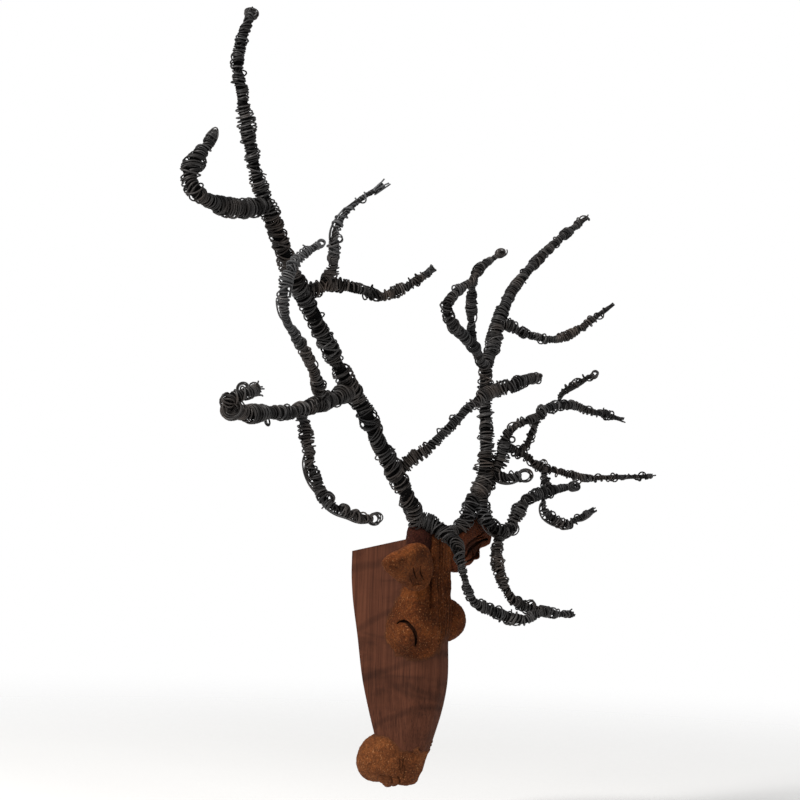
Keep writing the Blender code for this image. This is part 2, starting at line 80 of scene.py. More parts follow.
# The antlers' branches, as the frame has them: (x, y, z, winding radius) from root to tip.
# Each row is (name, parent, branch that its tip joins, looseness at its root, at its tip, points).
BRANCHES = [
    ("left_beam", None, None, 0.15, 0.3, [
        (-17, -57, 36, 6.4), (-35, -57, 60, 6.8), (-61, -54, 88, 7.1), (-85, -50, 120, 6.9),
        (-119, -46, 155, 6.3), (-147, -43, 189, 6.7), (-178, -41, 223, 6.2), (-197, -38, 255, 6.3),
        (-213, -34, 285, 5.6), (-223, -31, 318, 5.5), (-232, -30, 349, 5.2), (-236, -30, 366, 4.9),
        (-231, -32, 389, 4.3), (-224, -33, 402, 3.4)]),
    ("left_brow_tine", "left_beam", None, 0.1, 0.45, [
        (-23, -60, 41, 6), (-16, -68, 39, 6.3), (-13, -78, 33, 6.5), (-14, -88, 25, 5.8),
        (-18, -96, 10, 3.9), (-17, -100, -4, 3.2), (-14, -103, -15, 3), (-5, -107, -21, 4.6),
        (10, -118, -28, 5.2), (22, -127, -31, 4.8), (33, -136, -26, 2.8)]),
    ("left_cross_tine", "left_beam", None, 0.3, 0.35, [
        (-48, -56, 78, 5.6), (-42, -66, 89, 5.2), (-36, -76, 98, 4.2), (-28, -90, 115, 4.5),
        (-20, -100, 128, 4.1), (-9, -107, 138, 4.5), (9, -118, 145, 4.9), (21, -123, 149, 5.1),
        (34, -128, 152, 3.4)]),
    ("left_hook_tine", "left_beam", None, 0.1, 0.2, [
        (-105, -48, 136, 6.2), (-125, -50, 132, 6.2), (-148, -52, 128, 5.8), (-172, -53, 123, 5.6),
        (-199, -53, 120, 5), (-224, -52, 119, 5.5), (-248, -50, 119, 5.5), (-267, -55.5, 123.2, 5),
        (-279, -63, 128.5, 4.8), (-269, -68.5, 132.8, 4.7), (-253, -67.5, 135.5, 4.5)]),
    ("left_drop_tine", "left_hook_tine", None, 0.35, 0.75, [
        (-176, -54, 121, 4.4), (-176, -57, 109, 4), (-177, -61, 97, 4), (-179, -64, 85, 3.3),
        (-178, -68, 75, 3.9), (-175.5, -71, 66, 2.9), (-175, -75.5, 58.5, 3.4),
        (-168, -80.5, 53.5, 4.1), (-159, -85.5, 50, 3.6), (-150, -89, 47, 3.8),
        (-141, -93, 46, 3.3)]),
    ("left_climbing_tine", "left_hook_tine", None, 0.3, 0.55, [
        (-148, -52, 129, 4.7), (-161, -57, 141, 4.7), (-176, -61, 154, 3.9), (-194, -65, 166, 3.5),
        (-213, -69, 176, 3.5), (-227, -72, 185, 3.8), (-237, -76, 202, 4.1), (-235, -80, 220, 4.1),
        (-226, -84, 230, 4), (-216, -90, 238, 2.6)]),
    ("left_crown_hook", "left_beam", None, 0.05, 0.15, [
        (-203, -37, 267, 6), (-220, -35, 263, 6.7), (-236, -33, 262, 6.5), (-253, -31, 263, 5.8),
        (-269, -30, 266, 5.6), (-281, -28, 273, 6.3), (-284, -27, 284, 6.7), (-277, -28, 295, 5.6),
        (-268, -30, 304, 3.9), (-265, -32, 311, 3.2)]),
    ("left_fork_wisp", "left_beam", None, 0.3, 0.85, [
        (-165, -42, 207, 5.7), (-150, -50, 211, 5.8), (-146, -56, 223, 4.8), (-151, -60, 238, 3.5),
        (-157, -65, 252, 3.1), (-152, -71, 266, 2.9), (-142, -76, 275, 2.6), (-134, -81, 281, 2.4),
        (-129, -85, 285.5, 3.9)]),
    ("left_fork_tine", "left_fork_wisp", None, 0.4, 0.6, [
        (-149, -51, 213, 5.1), (-137, -58, 213, 4.9), (-122, -71, 209, 4.7), (-112, -79, 207, 3.8),
        (-98, -91, 215, 4.2), (-89, -97, 222, 3.2), (-82.5, -101.5, 228, 3.2)]),
    ("right_beam", None, None, 0.05, 0.35, [
        (13, -61, 28, 6.0), (25, -65.5, 33, 6.3), (33.5, -67, 40, 6.5), (38, -69, 49.5, 6.6),
        (45, -70.5, 60, 6.7), (52, -72, 75, 6.8), (54, -72, 92, 6.6), (54, -71, 111, 6.2),
        (54, -70, 128, 5.8),
        (56, -68, 159, 5.4), (65, -67, 172, 5.1), (77, -66, 196, 5), (95, -67, 220, 4.6),
        (122, -71, 243, 3.9), (154, -77, 266, 3.3), (182, -83, 283, 2.4)]),
    ("right_middle_tine", "right_beam", None, 0.25, 0.6, [
        (45, -71, 60, 4.5), (55, -75, 67, 5), (60, -77, 79, 5), (63, -80, 90, 5.2),
        (63, -83, 103, 5), (70, -88, 114, 3.8),
        (86, -95, 121, 3.8), (98, -99, 128, 3.9), (112, -103, 131, 3.7), (126, -107, 132, 3),
        (140, -113, 128, 2.9), (162, -119, 125, 3.1), (179.5, -122, 122, 2.2)]),
    ("right_long_tine", "right_middle_tine", None, 0.5, 0.95, [
        (62, -82, 99, 4.6), (75, -86, 95, 3.9), (88, -90, 90, 3.5), (98, -94, 84, 3.5),
        (117, -103, 79, 3.2), (141, -114, 75, 2.8), (174, -126, 76, 2.5), (205.5, -137, 77, 2.2)]),
    ("right_middle_link", "right_long_tine", "right_middle_tine", 0.25, 0.25, [
        (78, -87, 94, 3.5), (86, -90, 100, 3.5), (89, -92, 109, 3.4), (91, -96, 122, 3.3)]),
    ("right_middle_spur", "right_middle_tine", None, 0.8, 0.95, [
        (111, -103, 131, 2.5), (109, -106, 141, 2), (118, -112, 148, 1.9), (134, -120, 156, 2.2)]),
    ("right_stub_tine", "right_middle_tine", None, 0.5, 0.5, [
        (60, -77, 77, 5.8), (63, -85, 74.5, 4.8), (68, -95, 75.5, 4.3)]),
    ("right_low_tine", "right_beam", None, 0.3, 0.35, [
        (47, -72, 64, 5.4), (45.5, -75.5, 54, 5.8), (43, -78.5, 45, 6.0), (49, -81, 38, 5.6),
        (58, -84, 33, 4.9), (66, -87, 34, 5.2), (69.5, -91, 44, 4.9), (73, -96, 56, 4.6),
        (84, -102, 62, 4.3), (97, -107, 65, 4.8), (119, -114, 68, 3.0)]),
    ("right_down_tine", "right_low_tine", None, 0.45, 0.7, [
        (58, -83, 34, 4.0), (55, -85, 25, 3.9), (49, -88, 13, 4.9), (46, -92, 2, 3.9),
        (47, -101, -15, 3.9), (56, -105, -22, 4.0), (72, -110, -26, 3.9), (93, -117, -30, 3.1),
        (109, -122, -31, 2.2)]),
    ("right_low_link", "right_long_tine", "right_low_tine", 0.6, 0.6, [
        (103, -97, 82, 3.2), (98, -100, 74, 3.2), (94, -106, 64, 3.1)]),
    ("right_low_tail", "right_low_tine", None, 0.7, 1.0, [
        (90, -105, 63, 2.8), (85, -107, 54, 3), (87, -110, 46, 3.5), (101, -118, 39, 3.1),
        (110, -124, 44, 2.7), (122, -130, 50, 2.2)]),
    ("right_loop_outer", "right_beam", None, 0.2, 0.5, [
        (56, -68, 158, 4.6), (38, -73, 166, 4.2), (19, -79, 174, 3.9), (-8, -85, 182, 3.8),
        (-32, -90, 189, 3.7), (-46.5, -92.5, 201, 4.0), (-40, -96, 213, 3.7), (-18, -98, 223, 3.2),
        (-8, -97, 232, 2.9), (7, -96.5, 238.5, 2.6), (19.4, -100.4, 245.5, 2.7)]),
    ("right_loop_inner", "right_loop_outer", "right_loop_outer", 0.3, 0.3, [
        (16, -80, 176, 3.4), (6, -84, 187, 3.4), (-2, -88, 198, 3.4), (-10, -92, 209, 3.3),
        (-18, -98, 223, 3.2)]),
    ("right_top_tine", "right_beam", None, 0.3, 0.5, [
        (76, -66, 194, 4.7), (84, -71, 193, 4.5), (94, -77, 188, 3.6), (104, -82, 185, 3),
        (118, -88, 183, 3.6), (135, -96, 187, 3.6), (153, -104, 198, 3.1), (171, -116, 213, 1.9)]),
]

# Coils bent in the wire at some tips: (branch, ring radius, turns, place beyond the tip in ring
# radii, stretch along the branch, size of the smallest turn).
TIP_RINGS = [
    ("left_drop_tine", 3.5, 5, 0.9, 1.2, 0.85), ("right_stub_tine", 4.7, 5, 0.6, 1.2, 0.6),
    ("right_low_tine", 3.9, 9, 0.3, 1.4, 0.35), ("right_middle_spur", 2.5, 5, 0.5, 1.4, 0.6),
    ("left_climbing_tine", 2.5, 5, 0.6, 1.3, 0.8), ("left_crown_hook", 3.4, 14, -0.9, 1.9, 0.2),
    ("left_beam", 4.3, 12, -0.5, 0.75, 0.2), ("right_loop_outer", 3.2, 13, -0.4, 1.5, 0.2),
    ("left_cross_tine", 3.6, 9, -0.3, 1.0, 0.3),
]
# Single rings that stand off a branch: (branch, share of its length, ring radius, side as +1 or
# -1 upward).
SIDE_RINGS = [
    ("left_hook_tine", 0.55, 3.0, -1), ("left_hook_tine", 0.03, 2.6, 1),
    ("left_climbing_tine", 0.05, 2.4, 1), ("right_middle_tine", 0.3, 2.6, -1),
    ("right_low_tine", 0.35, 3.2, -1), ("right_long_tine", 0.28, 2.8, 1),
    ("left_fork_wisp", 0.5, 2.4, -1),
]
# Coils that lie flat to the view: (branch, share of its length, rightward and upward shift,
# radius, turns, size of the smallest turn).
BEND_COILS = [
    ("left_hook_tine", 0.845, 3.0, -5.2, 7.0, 20, 0.3),
    ("right_middle_tine", 0.02, 0.0, 0.0, 4.5, 5, 0.6),
    ("left_cross_tine", 0.95, 0.0, 0.0, 3.6, 6, 0.5),
    ("left_drop_tine", 0.63, 1.6, 1.6, 4.4, 10, 0.15),
    ("left_hook_tine", 0.92, -1.5, 3.0, 4.0, 3, 0.85),
    ("left_drop_tine", 0.77, 0.6, 1.8, 3.4, 9, 0.15),
    ("left_drop_tine", 0.88, 0.4, 1.4, 2.8, 8, 0.2),
    ("right_low_tine", 0.43, 0.0, -1.5, 4.6, 6, 0.5),
]
# Wires that leave the turns and bow off to one side: (branch, share of its length where they
# leave, where they return, how far they bow, side as +1 or -1 upward, number of wires).
SLACK_WIRES = [
    ("left_drop_tine", 0.31, 0.56, 3.6, -1, 4), ("left_drop_tine", 0.60, 1.0, 1.4, -1, 3),
    ("right_low_tail", 0.12, 0.55, 2.2, -1, 2), ("right_low_tail", 0.72, 0.97, 2.2, -1, 2),
    ("right_stub_tine", 0.1, 0.95, 1.2, -1, 2), ("right_low_tine", 0.2, 0.42, 1.4, -1, 2),
    ("right_middle_spur", 0.1, 0.9, 1.6, -1, 2), ("left_fork_wisp", 0.45, 0.75, 1.4, 1, 2),
    ("left_climbing_tine", 0.62, 0.85, 1.3, -1, 2),
]
# Branches whose wire is painted paler towards the tip, a painted grey glare: (share where it
# starts, share where it is full, how pale).
PAINTED_GLARE_BRANCHES = {"left_fork_wisp": (0.15, 0.85, 0.9), "left_climbing_tine": (0.35, 0.8, 0.5)}
# Cut wire ends in a bunch at a tip: (branch, number of wires, how far they reach).
TIP_BROOMS = [
    ("left_hook_tine", 16, 3.4), ("left_fork_wisp", 5, 6.5), ("right_long_tine", 6, 4.5),
    ("right_low_tail", 7, 4.5), ("right_middle_tine", 9, 4.5), ("left_fork_tine", 7, 3.5),
    ("left_brow_tine", 8, 3.0), ("right_down_tine", 7, 3.0),
]

# Colours, as red, green and blue light from 0 to 1.
BLACK_WIRE = (0.0035, 0.0032, 0.0032)
# the grey of the painted glare towards some branch tips
PAINTED_GLARE_GREY = (0.130, 0.133, 0.138)
PALE_GRIT = (0.33, 0.145, 0.058)
DARK_PIT = (0.018, 0.006, 0.003)
THIN_CLAY = (0.070, 0.026, 0.012)

# The stage, in metres: the head hangs clear of the floor, which fades out round the origin.
FLOOR_GAP = 0.03
FLOOR_RADIUS = 9
FLOOR_CORNERS = 96
FADE_START = 0.3
FADE_END = 1.3
SKY_STRENGTH = 0.42
LIGHT_AIM = (0, -0.06, 0.1)
# Each light: (name, place rightward, nearer and up as the camera sees it, size, watts, colour).
LIGHTS = [
    ("key", (-1.5, 1.5, 1.9), 0.8, 80, (1.0, 0.98, 0.95)),
    ("fill", (1.9, 1.2, 0.7), 1.4, 8, (1, 1, 1)),
]


# ---- meshes ---------------------------------------------------------------------------------
def add_object(name, data):
    item = bpy.data.objects.new(name, data)
    bpy.context.scene.collection.objects.link(item)
    return item


def piece_from(name, points, faces, material, nodes):
    """A mesh object in metres that rides with the object and stands for the named nodes."""
    mesh = bpy.data.meshes.new(name)
    mesh.from_pydata((points * MM).tolist(), [], faces)
    mesh.validate()
    mesh.shade_smooth()
    mesh.materials.append(material)
    item = add_object(name, mesh)
    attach(item, "root")
    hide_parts(*nodes)
    return item


def set_attribute(piece, name, values):
    """A number at each point of a piece, for its material to read."""
    layer = piece.data.attributes.new(name, "FLOAT", "POINT")
    layer.data.foreach_set("value", values.astype(np.float32))


def unit(vectors):
    lengths = np.linalg.norm(vectors, axis=-1, keepdims=True)
    return vectors / np.maximum(lengths, 1e-9)


class MeshParts:
    """Collects tubes into one mesh."""

    def __init__(self):
        self.points = []
        self.faces = []
        self.tones = []
        self.count = 0

    def add_tube(self, line, reference, radius, sides=WIRE_SIDES, tone=0.5):
        """A closed tube round a line, dark to bright by its tone; reference never runs along it."""
        along = unit(np.gradient(line, axis=0))
        across = unit(np.cross(along, reference))
        up = np.cross(along, across)
        number = np.arange(sides)
        turns = 2 * math.pi * number / sides
        outward = (np.cos(turns)[:, None] * across[:, None, :]
                   + np.sin(turns)[:, None] * up[:, None, :])
        rings = line[:, None, :] + radius * outward
        first = self.count + sides * np.arange(len(line) - 1)[:, None]
        low, after = first + number, first + (number + 1) % sides
        quads = np.stack([low, after, after + sides, low + sides], axis=-1).reshape(-1, 4)
        self.faces.extend(quads.tolist())
        last = self.count + (len(line) - 1) * sides
        self.faces.append(list(range(self.count + sides - 1, self.count - 1, -1)))
        self.faces.append(list(range(last, last + sides)))
        self.points.append(rings.reshape(-1, 3))
        self.tones.append(np.repeat(np.broadcast_to(tone, len(line)), sides))
        self.count += len(line) * sides

    def make(self, name, material, slot, nodes):
        piece = piece_from(name, np.concatenate(self.points), self.faces, material, nodes)
        set_attribute(piece, "tone", np.concatenate(self.tones))
        return piece


# ---- wire antlers ---------------------------------------------------------------------------
FIRST_ACROSS = (0.3, -0.9, 0.2)     # a direction that no branch sets out along
BUNDLE_TURNS = (3, 7)               # fewest and most turns in a bundle
PITCH = (1.15, 1.75)                # of the turns, in wire thicknesses
OPEN_FROM = 0.4                     # looseness above which turns stand well apart
TURN_SIZE = 0.97                    # mean radius of the turns, as a share of the branch's
CROWN_MEAN = 0.66                   # keeps a barrel-shaped bundle at the branch's mean radius
MOST_TILT = 46                      # of a turn, in degrees
LEAST_RADIUS = 0.4                  # of a turn, as a share of the branch's
OVERLAP_CHANCE = 0.36               # that a bundle is wound back over the one before
TIP_TAPER = 0.6                     # radius that the winding closes to at a tip, as a share
LINING_STEPS = 10                   # straight pieces in one turn of the lining
EXTRA_WIRE_EVERY = 26               # millimetres of branch for each extra wire or cut end
STRAND_SHARE = 0.52                 # radius of the inner strands, as a share of the branch's
STRAND_STEP = 2.2
STRAND_TWIST = 34                   # millimetres in which the strands go once round
RING_STEPS = 20                     # straight pieces in one turn of a ring
SIDE_RING_TURNS = 2.3


def catmull_rom(before, start, end, beyond, pieces):
    """Points of the smooth curve from start up to end, given its neighbours on both sides."""
    t = (np.arange(pieces) / pieces)[:, None]
    return 0.5 * (2 * start + (end - before) * t
                  + (2 * before - 5 * start + 4 * end - beyond) * t ** 2
                  + (3 * start - before - 3 * end + beyond) * t ** 3)


def smooth_route(knots):
    """A smooth open curve through (x, y, z, radius) points."""
    padded = np.vstack([2 * knots[0] - knots[1], knots, 2 * knots[-1] - knots[-2]])
    stretches = [catmull_rom(*padded[i:i + 4], 24) for i in range(len(knots) - 1)]
    return np.vstack(stretches + [knots[-1:]])


def smooth_loop(knots):
    """A smooth closed curve through points in a plane."""
    turned = [np.roll(knots, 1 - i, axis=0)[:4] for i in range(len(knots))]
    return np.vstack([catmull_rom(*four, 5) for four in turned])


class Route:
    """A branch's centre line, evenly spaced, with its radius and two directions square to it."""

    def __init__(self, points):
        fine = smooth_route(points)
        steps = np.linalg.norm(np.diff(fine[:, :3], axis=0), axis=1)
        walked = np.concatenate([[0], np.cumsum(steps)])
        self.length = walked[-1]
        self.s = np.linspace(0, self.length, max(int(self.length / ROUTE_STEP), 8))
        self.rows = np.stack([np.interp(self.s, walked, column) for column in fine.T], axis=1)
        tangent = unit(np.gradient(self.rows[:, :3], axis=0))
        across = np.zeros_like(tangent)
        current = unit(np.cross(tangent[0], FIRST_ACROSS))
        for index, direction in enumerate(tangent):
            current = unit(current - direction * current.dot(direction))
            across[index] = current
        self.tangent = tangent
        self.across = across
        self.up = np.cross(tangent, across)

    def read(self, values, s):
        return np.stack([np.interp(s, self.s, column) for column in values.T], axis=1)

    def centre(self, s):
        return self.read(self.rows[:, :3], s)

    def radius(self, s):
        return np.interp(s, self.s, self.rows[:, 3])

    def place(self, s, phi, radius):
        """Points at a distance s along the branch, turned by phi, at a radius from its centre."""
        beyond = s - np.clip(s, 0, self.length)
        tangent = unit(self.read(self.tangent, s))
        outward = unit(np.cos(phi)[:, None] * self.read(self.across, s)
                       + np.sin(phi)[:, None] * self.read(self.up, s))
        centre = self.centre(s) + tangent * beyond[:, None]
        return centre + outward * radius[:, None], tangent, outward

    def row_at(self, share):
        """The number of the point at a share of the branch's length."""
        return int(share * (len(self.s) - 1))


def make_routes():
    routes = {}
    for name, parent, joins, _, _, points in BRANCHES:
        points = np.asarray(points, float)
        for end, neighbour in ((0, parent), (-1, joins)):
            if neighbour:
                rows = routes[neighbour].rows
                nearest = np.argmin(np.linalg.norm(rows[:, :3] - points[end, :3], axis=1))
                points[end, :3] = rows[nearest, :3]
        routes[name] = Route(points)
    return routes


def running_mean(values, width):
    padded = np.pad(values, (width // 2, width - 1 - width // 2), mode="edge")
    return np.convolve(padded, np.ones(width) / width, mode="valid")


def wind_lining(parts, route, looseness):
    """The close turns under the ones that show, in the darkest tone as painted shade."""
    reach = route.length - 1.5
    turns = reach / (2 * LINING_RADIUS)
    t = np.linspace(0, 1, int(turns * LINING_STEPS))
    walk = reach * t
    outer = route.radius(walk)
    inset = 0.5 * outer if looseness > 0.5 else 1.9 * WIRE_RADIUS + 0.06 * outer
    radius = np.maximum(outer * (1 + 0.05 * np.sin(walk / 2.9)) - inset - LINING_RADIUS, 0.5)
    line, tangent, _ = route.place(walk, 2 * math.pi * turns * t, radius)
    # tone 0, the blackest and least glossy wire: painted shade in the gaps between the outer turns
    parts.add_tube(line, tangent, LINING_RADIUS, 5, 0.0)


def wind_branch(parts, route, rng, loose_root, loose_tip):
    """One long wire wound along a branch in barrel-shaped bundles of turns.

    Each bundle has its own tilt, size and place off the middle, and each turn its own tone.
    """
    wire = 2 * WIRE_RADIUS
    walk = 0.0
    phi = rng.uniform(0, 2 * math.pi)
    layer = 0.0
    places, angles, radii, tones = [], [], [], []
    last = None
    while walk < route.length:
        loose = loose_root + (loose_tip - loose_root) * walk / route.length
        open_turns = max(loose - OPEN_FROM, 0)
        turns = rng.randint(*BUNDLE_TURNS)
        pitch = wire * (rng.uniform(*PITCH) + 0.4 * loose * rng.random() ** 2
                        + 1.6 * open_turns * rng.random())
        bundle_tilt = rng.gauss(0, 19 + 12 * loose)
        bundle_phase = rng.uniform(0, 2 * math.pi)
        swell = rng.gauss(0, 0.06 + 0.06 * loose)
        crown = rng.uniform(0.06, 0.3)
        aside = 0.09 + 0.04 * loose
        aside_x, aside_y = rng.gauss(0, aside), rng.gauss(0, aside)
        for turn in range(turns):
            tilt = bundle_tilt + rng.gauss(0, 9 + 9 * loose)
            tilt = max(-MOST_TILT, min(MOST_TILT, tilt))
            phase = bundle_phase + rng.gauss(0, 0.4)
            size = (TURN_SIZE + swell + rng.gauss(0, 0.03 + 0.05 * loose)
                    - 0.4 * open_turns * rng.random())
            size += crown * (math.sin(math.pi * (turn + 0.5) / turns) - CROWN_MEAN)
            lean = math.tan(math.radians(tilt))
            tone = rng.random() ** 1.4
            target = np.array((lean * math.cos(phase), lean * math.sin(phase), size, layer, tone,
                               aside_x, aside_y))
            last = target if last is None else last
            advance = pitch * max(0.45, rng.gauss(1, 0.22 + 0.1 * loose))
            strays = rng.random() < 0.02 + 0.1 * loose
            stray = rng.uniform(0.6, 1.3 + 2.2 * loose) if strays else 0.0
            stray_at = rng.uniform(0.2, 0.8)
            stray_width = rng.uniform(0.08, 0.24)
            for step in range(TURN_STEPS):
                share = step / TURN_STEPS
                blend = share * share * (3 - 2 * share)
                lean_x, lean_y, scale, lift, shade, off_x, off_y = last + (target - last) * blend
                phi += 2 * math.pi / TURN_STEPS
                walk += advance / TURN_STEPS
                outer = float(route.radius(walk))
                scale += off_x * math.cos(phi) + off_y * math.sin(phi)
                bulge = stray * math.exp(-((share - stray_at) / stray_width) ** 2)
                radius = outer * scale - WIRE_RADIUS + lift + bulge
                radii.append(max(radius, LEAST_RADIUS * outer))
                places.append(walk + outer * (lean_x * math.cos(phi) + lean_y * math.sin(phi)))
                angles.append(phi)
                tones.append(shade)
            last = target
        if rng.random() < OVERLAP_CHANCE:
            walk -= min(pitch * turns * rng.uniform(0.3, 0.6), walk)
            layer = rng.uniform(0.35, 1.0) * wire
        else:
            walk += rng.uniform(0.0, 0.5 + 1.2 * loose) * wire
            layer = -rng.uniform(0, 0.4) * wire
    places = running_mean(np.array(places), 5)
    radii = running_mean(np.array(radii), 3)
    shrink = (route.length - places) / (1.6 * route.rows[-1, 3]) + TIP_TAPER
    shrink = np.clip(shrink, TIP_TAPER, 1.0)
    places = np.clip(places, -1, route.length + 0.5)
    line, tangent, _ = route.place(places, np.array(angles), radii * shrink)
    parts.add_tube(line, tangent, WIRE_RADIUS, tone=0.15 + 0.85 * np.array(tones))


def tip_broom(parts, route, rng, count, reach):
    """Cut ends of the inner wires, fanning a little out of a branch's tip."""
    for _ in range(count):
        start = route.length - rng.uniform(4, 9)
        end = route.length + rng.uniform(0.1, 1.0) * reach
        t = np.linspace(0, 1, 7)
        phi = rng.uniform(0, 2 * math.pi) + rng.uniform(-0.8, 0.8) * t
        spread = rng.uniform(0.3, 0.85) + rng.uniform(-0.1, 0.5) * t ** 2
        line, _, outward = route.place(start + (end - start) * t, phi, route.rows[-1, 3] * spread)
        parts.add_tube(line, outward, WIRE_RADIUS, 5)


def lay_strands(parts, route, rng):
    """The straighter wires inside the turns, twisted slowly round each other."""
    mean_radius = route.rows[:, 3].mean() * STRAND_SHARE
    count = max(4, round(2 * math.pi * mean_radius / (WIRE_RADIUS * 3.0)))
    for strand in range(count):
        end = route.length + rng.uniform(-2.0, 2.5)
        s = np.arange(0, end, STRAND_STEP)
        wander = rng.uniform(0, 2 * math.pi)
        phi = 2 * math.pi * (strand / count + s / STRAND_TWIST) + 0.5 * np.sin(s / 6 + wander)
        radius = route.radius(s) * STRAND_SHARE * (1 + 0.2 * np.sin(s / 4.3 + wander * 2))
        line, _, outward = route.place(s, phi, radius)
        parts.add_tube(line, outward, WIRE_RADIUS, 5, 0.2)


def cross_wraps(parts, route, rng, looseness):
    """Single wires that cross over the turns at a slant, some bowing off the branch."""
    count = int(route.length / EXTRA_WIRE_EVERY * (1.3 + 1.5 * looseness)) + 1
    for _ in range(count):
        start = rng.uniform(0, max(route.length - 10, 1))
        reach = rng.uniform(6, 16)
        turns = rng.uniform(0.6, 2.2) * rng.choice((-1, 1))
        t = np.linspace(0, 1, max(int(abs(turns) * TURN_STEPS), 8))
        s = start + reach * t
        phi = rng.uniform(0, 2 * math.pi) + 2 * math.pi * turns * t
        lift = rng.uniform(0.0, 0.6 + 1.6 * looseness)
        radius = route.radius(s) * rng.uniform(0.95, 1.03) + lift * np.sin(math.pi * t)
        radius -= 1.2 * np.abs(2 * t - 1) ** 6
        line, _, outward = route.place(s, phi, radius)
        parts.add_tube(line, outward, WIRE_RADIUS, tone=rng.random())


def wire_ends(parts, route, rng, looseness):
    """Cut ends of wire that stick out between the turns."""
    count = int(route.length / EXTRA_WIRE_EVERY * (0.15 + looseness))
    for _ in range(count):
        s = rng.uniform(4, route.length)
        length = rng.uniform(1.5, 3.2 + 1.5 * looseness)
        t = np.linspace(0, 1, 5)
        curl = rng.uniform(-0.5, 0.5)
        phi = rng.uniform(0, 2 * math.pi) + curl * t
        slide = rng.uniform(-0.9, 0.9) * length
        base = route.radius(s) * 0.8
        line, tangent, _ = route.place(s + slide * t, phi, base + length * t)
        square = unit(np.cross(tangent, line[-1] - line[0]))
        parts.add_tube(line, square, WIRE_RADIUS * 0.95, 5)


def slack_wires(parts, route, rng, first, last, bow, upward, count):
    """Wires that run outside the turns for a stretch, bowing off the branch square to the view."""
    for _ in range(count):
        start = (first + rng.uniform(-0.03, 0.05)) * route.length
        end = (last + rng.uniform(-0.05, 0.03)) * route.length
        t = np.linspace(0, 1, 22)
        s = start + (end - start) * t
        side = unit(np.cross(route.read(route.tangent, s), TO_CAMERA))
        side *= np.where(side[:, 2:] * upward > 0, 1, -1)
        reach = (route.radius(s) * rng.uniform(0.75, 0.95)
                 + bow * rng.uniform(0.15, 1.0) * np.sin(math.pi * t) ** 0.7)
        reach -= 1.6 * np.abs(2 * t - 1) ** 5
        depth = route.radius(s) * rng.uniform(-0.5, 0.5)
        line = route.centre(s) + side * reach[:, None] + np.outer(depth, TO_CAMERA)
        parts.add_tube(line, TO_CAMERA, WIRE_RADIUS, tone=rng.uniform(0.3, 1.0))


def bend_ring(parts, centre, first, second, radius, turns, rng, smallest=0.75):
    """A small coil of wire: uneven turns of a ring that lies in two directions."""
    steps = int(turns * RING_STEPS)
    phi = np.linspace(0, 2 * math.pi * turns, steps) + rng.uniform(0, 6)
    starts = np.arange(0, turns + 3)

    def vary(low, high):
        return np.interp(phi / (2 * math.pi), starts, [rng.uniform(low, high) for _ in starts])

    sizes = vary(smallest, 1.2)
    leans = vary(-0.6, 0.6)
    turned = vary(0, 6)
    tones = vary(0.1, 1.0)
    normal = unit(np.cross(first, second))
    drift = np.linspace(-0.5, 0.5, steps) * min(turns, 8) * WIRE_RADIUS
    line = (centre + np.outer(radius * (sizes * np.cos(phi) + vary(-0.3, 0.3)), first)
            + np.outer(radius * (sizes * np.sin(phi) + vary(-0.3, 0.3)), second)
            + np.outer(drift + radius * leans * np.cos(phi - turned), normal))
    parts.add_tube(line, normal, WIRE_RADIUS * 0.9, tone=tones)


def add_details(parts, route, rng, name):
    """The rings, coils, brooms and slack wires that the tables give to a branch."""
    def rows_in(table):
        return [row[1:] for row in table if row[0] == name]

    for radius, turns, beyond, stretch, smallest in rows_in(TIP_RINGS):
        first = route.tangent[-1]
        second = unit(np.cross(first, TO_CAMERA))
        centre = route.rows[-1, :3] + first * radius * beyond
        bend_ring(parts, centre, first * stretch, second, radius, turns, rng, smallest)
    for share, right, up, radius, turns, smallest in rows_in(BEND_COILS):
        centre = route.rows[route.row_at(share), :3] + right * RIGHTWARD + up * UP
        bend_ring(parts, centre, RIGHTWARD, UP, radius, turns, rng, smallest)
    for row in rows_in(TIP_BROOMS):
        tip_broom(parts, route, rng, *row)
    for row in rows_in(SLACK_WIRES):
        slack_wires(parts, route, rng, *row)
    for share, radius, upward in rows_in(SIDE_RINGS):
        at = route.row_at(share)
        first = route.tangent[at]
        second = unit(np.cross(first, TO_CAMERA))
        second *= upward * (1 if second[2] > 0 else -1)
        centre = route.rows[at, :3] + second * route.rows[at, 3]
        bend_ring(parts, centre, first, second, radius, SIDE_RING_TURNS, rng)


def build_antlers(material):
    """A winding for each branch, and the strands inside all of an antler's branches."""
    routes = make_routes()
    strands = {"left": MeshParts(), "right": MeshParts()}
    for index, (name, _, _, loose_root, loose_tip, _) in enumerate(BRANCHES):
        route = routes[name]
        rng = random.Random(FIRST_SEED + index)
        looseness = (loose_root + loose_tip) / 2
        parts = MeshParts()
        wind_lining(parts, route, looseness)
        wind_branch(parts, route, rng, loose_root, loose_tip)
        cross_wraps(parts, route, rng, looseness)
        wire_ends(parts, route, rng, looseness)
        lay_strands(strands[name.split("_")[0]], route, rng)
        add_details(parts, route, rng, name)
        piece = parts.make("turns_" + name, material, "wire", ["winding_" + name])
        # painted glare: the wire greys towards the tip of these branches
        if name in PAINTED_GLARE_BRANCHES:
            starts, full, most = PAINTED_GLARE_BRANCHES[name]
            root, span = route.rows[0, :3], route.rows[-1, :3] - route.rows[0, :3]
            share = (np.concatenate(parts.points) - root) @ span / (span @ span)
            set_attribute(piece, "pale", np.interp(share, (starts, full), (0, most)))
    for side, parts in strands.items():
        parts.make("strands_" + side, material, "wire", ["antler_core_" + side])


# ---- clay, sculpted as distance fields ------------------------------------------------------
PROBE = 0.05                    # how far off a field is read again to find its slope
SETTLE_ROUNDS = 12
GROOVE_FILLET = 0.45
SLAB = 16                       # layers of the grid that are read at once
NOISE_SIZE = 32
NOISE_TABLE = np.random.default_rng(7).uniform(-1, 1, (NOISE_SIZE,) * 3)


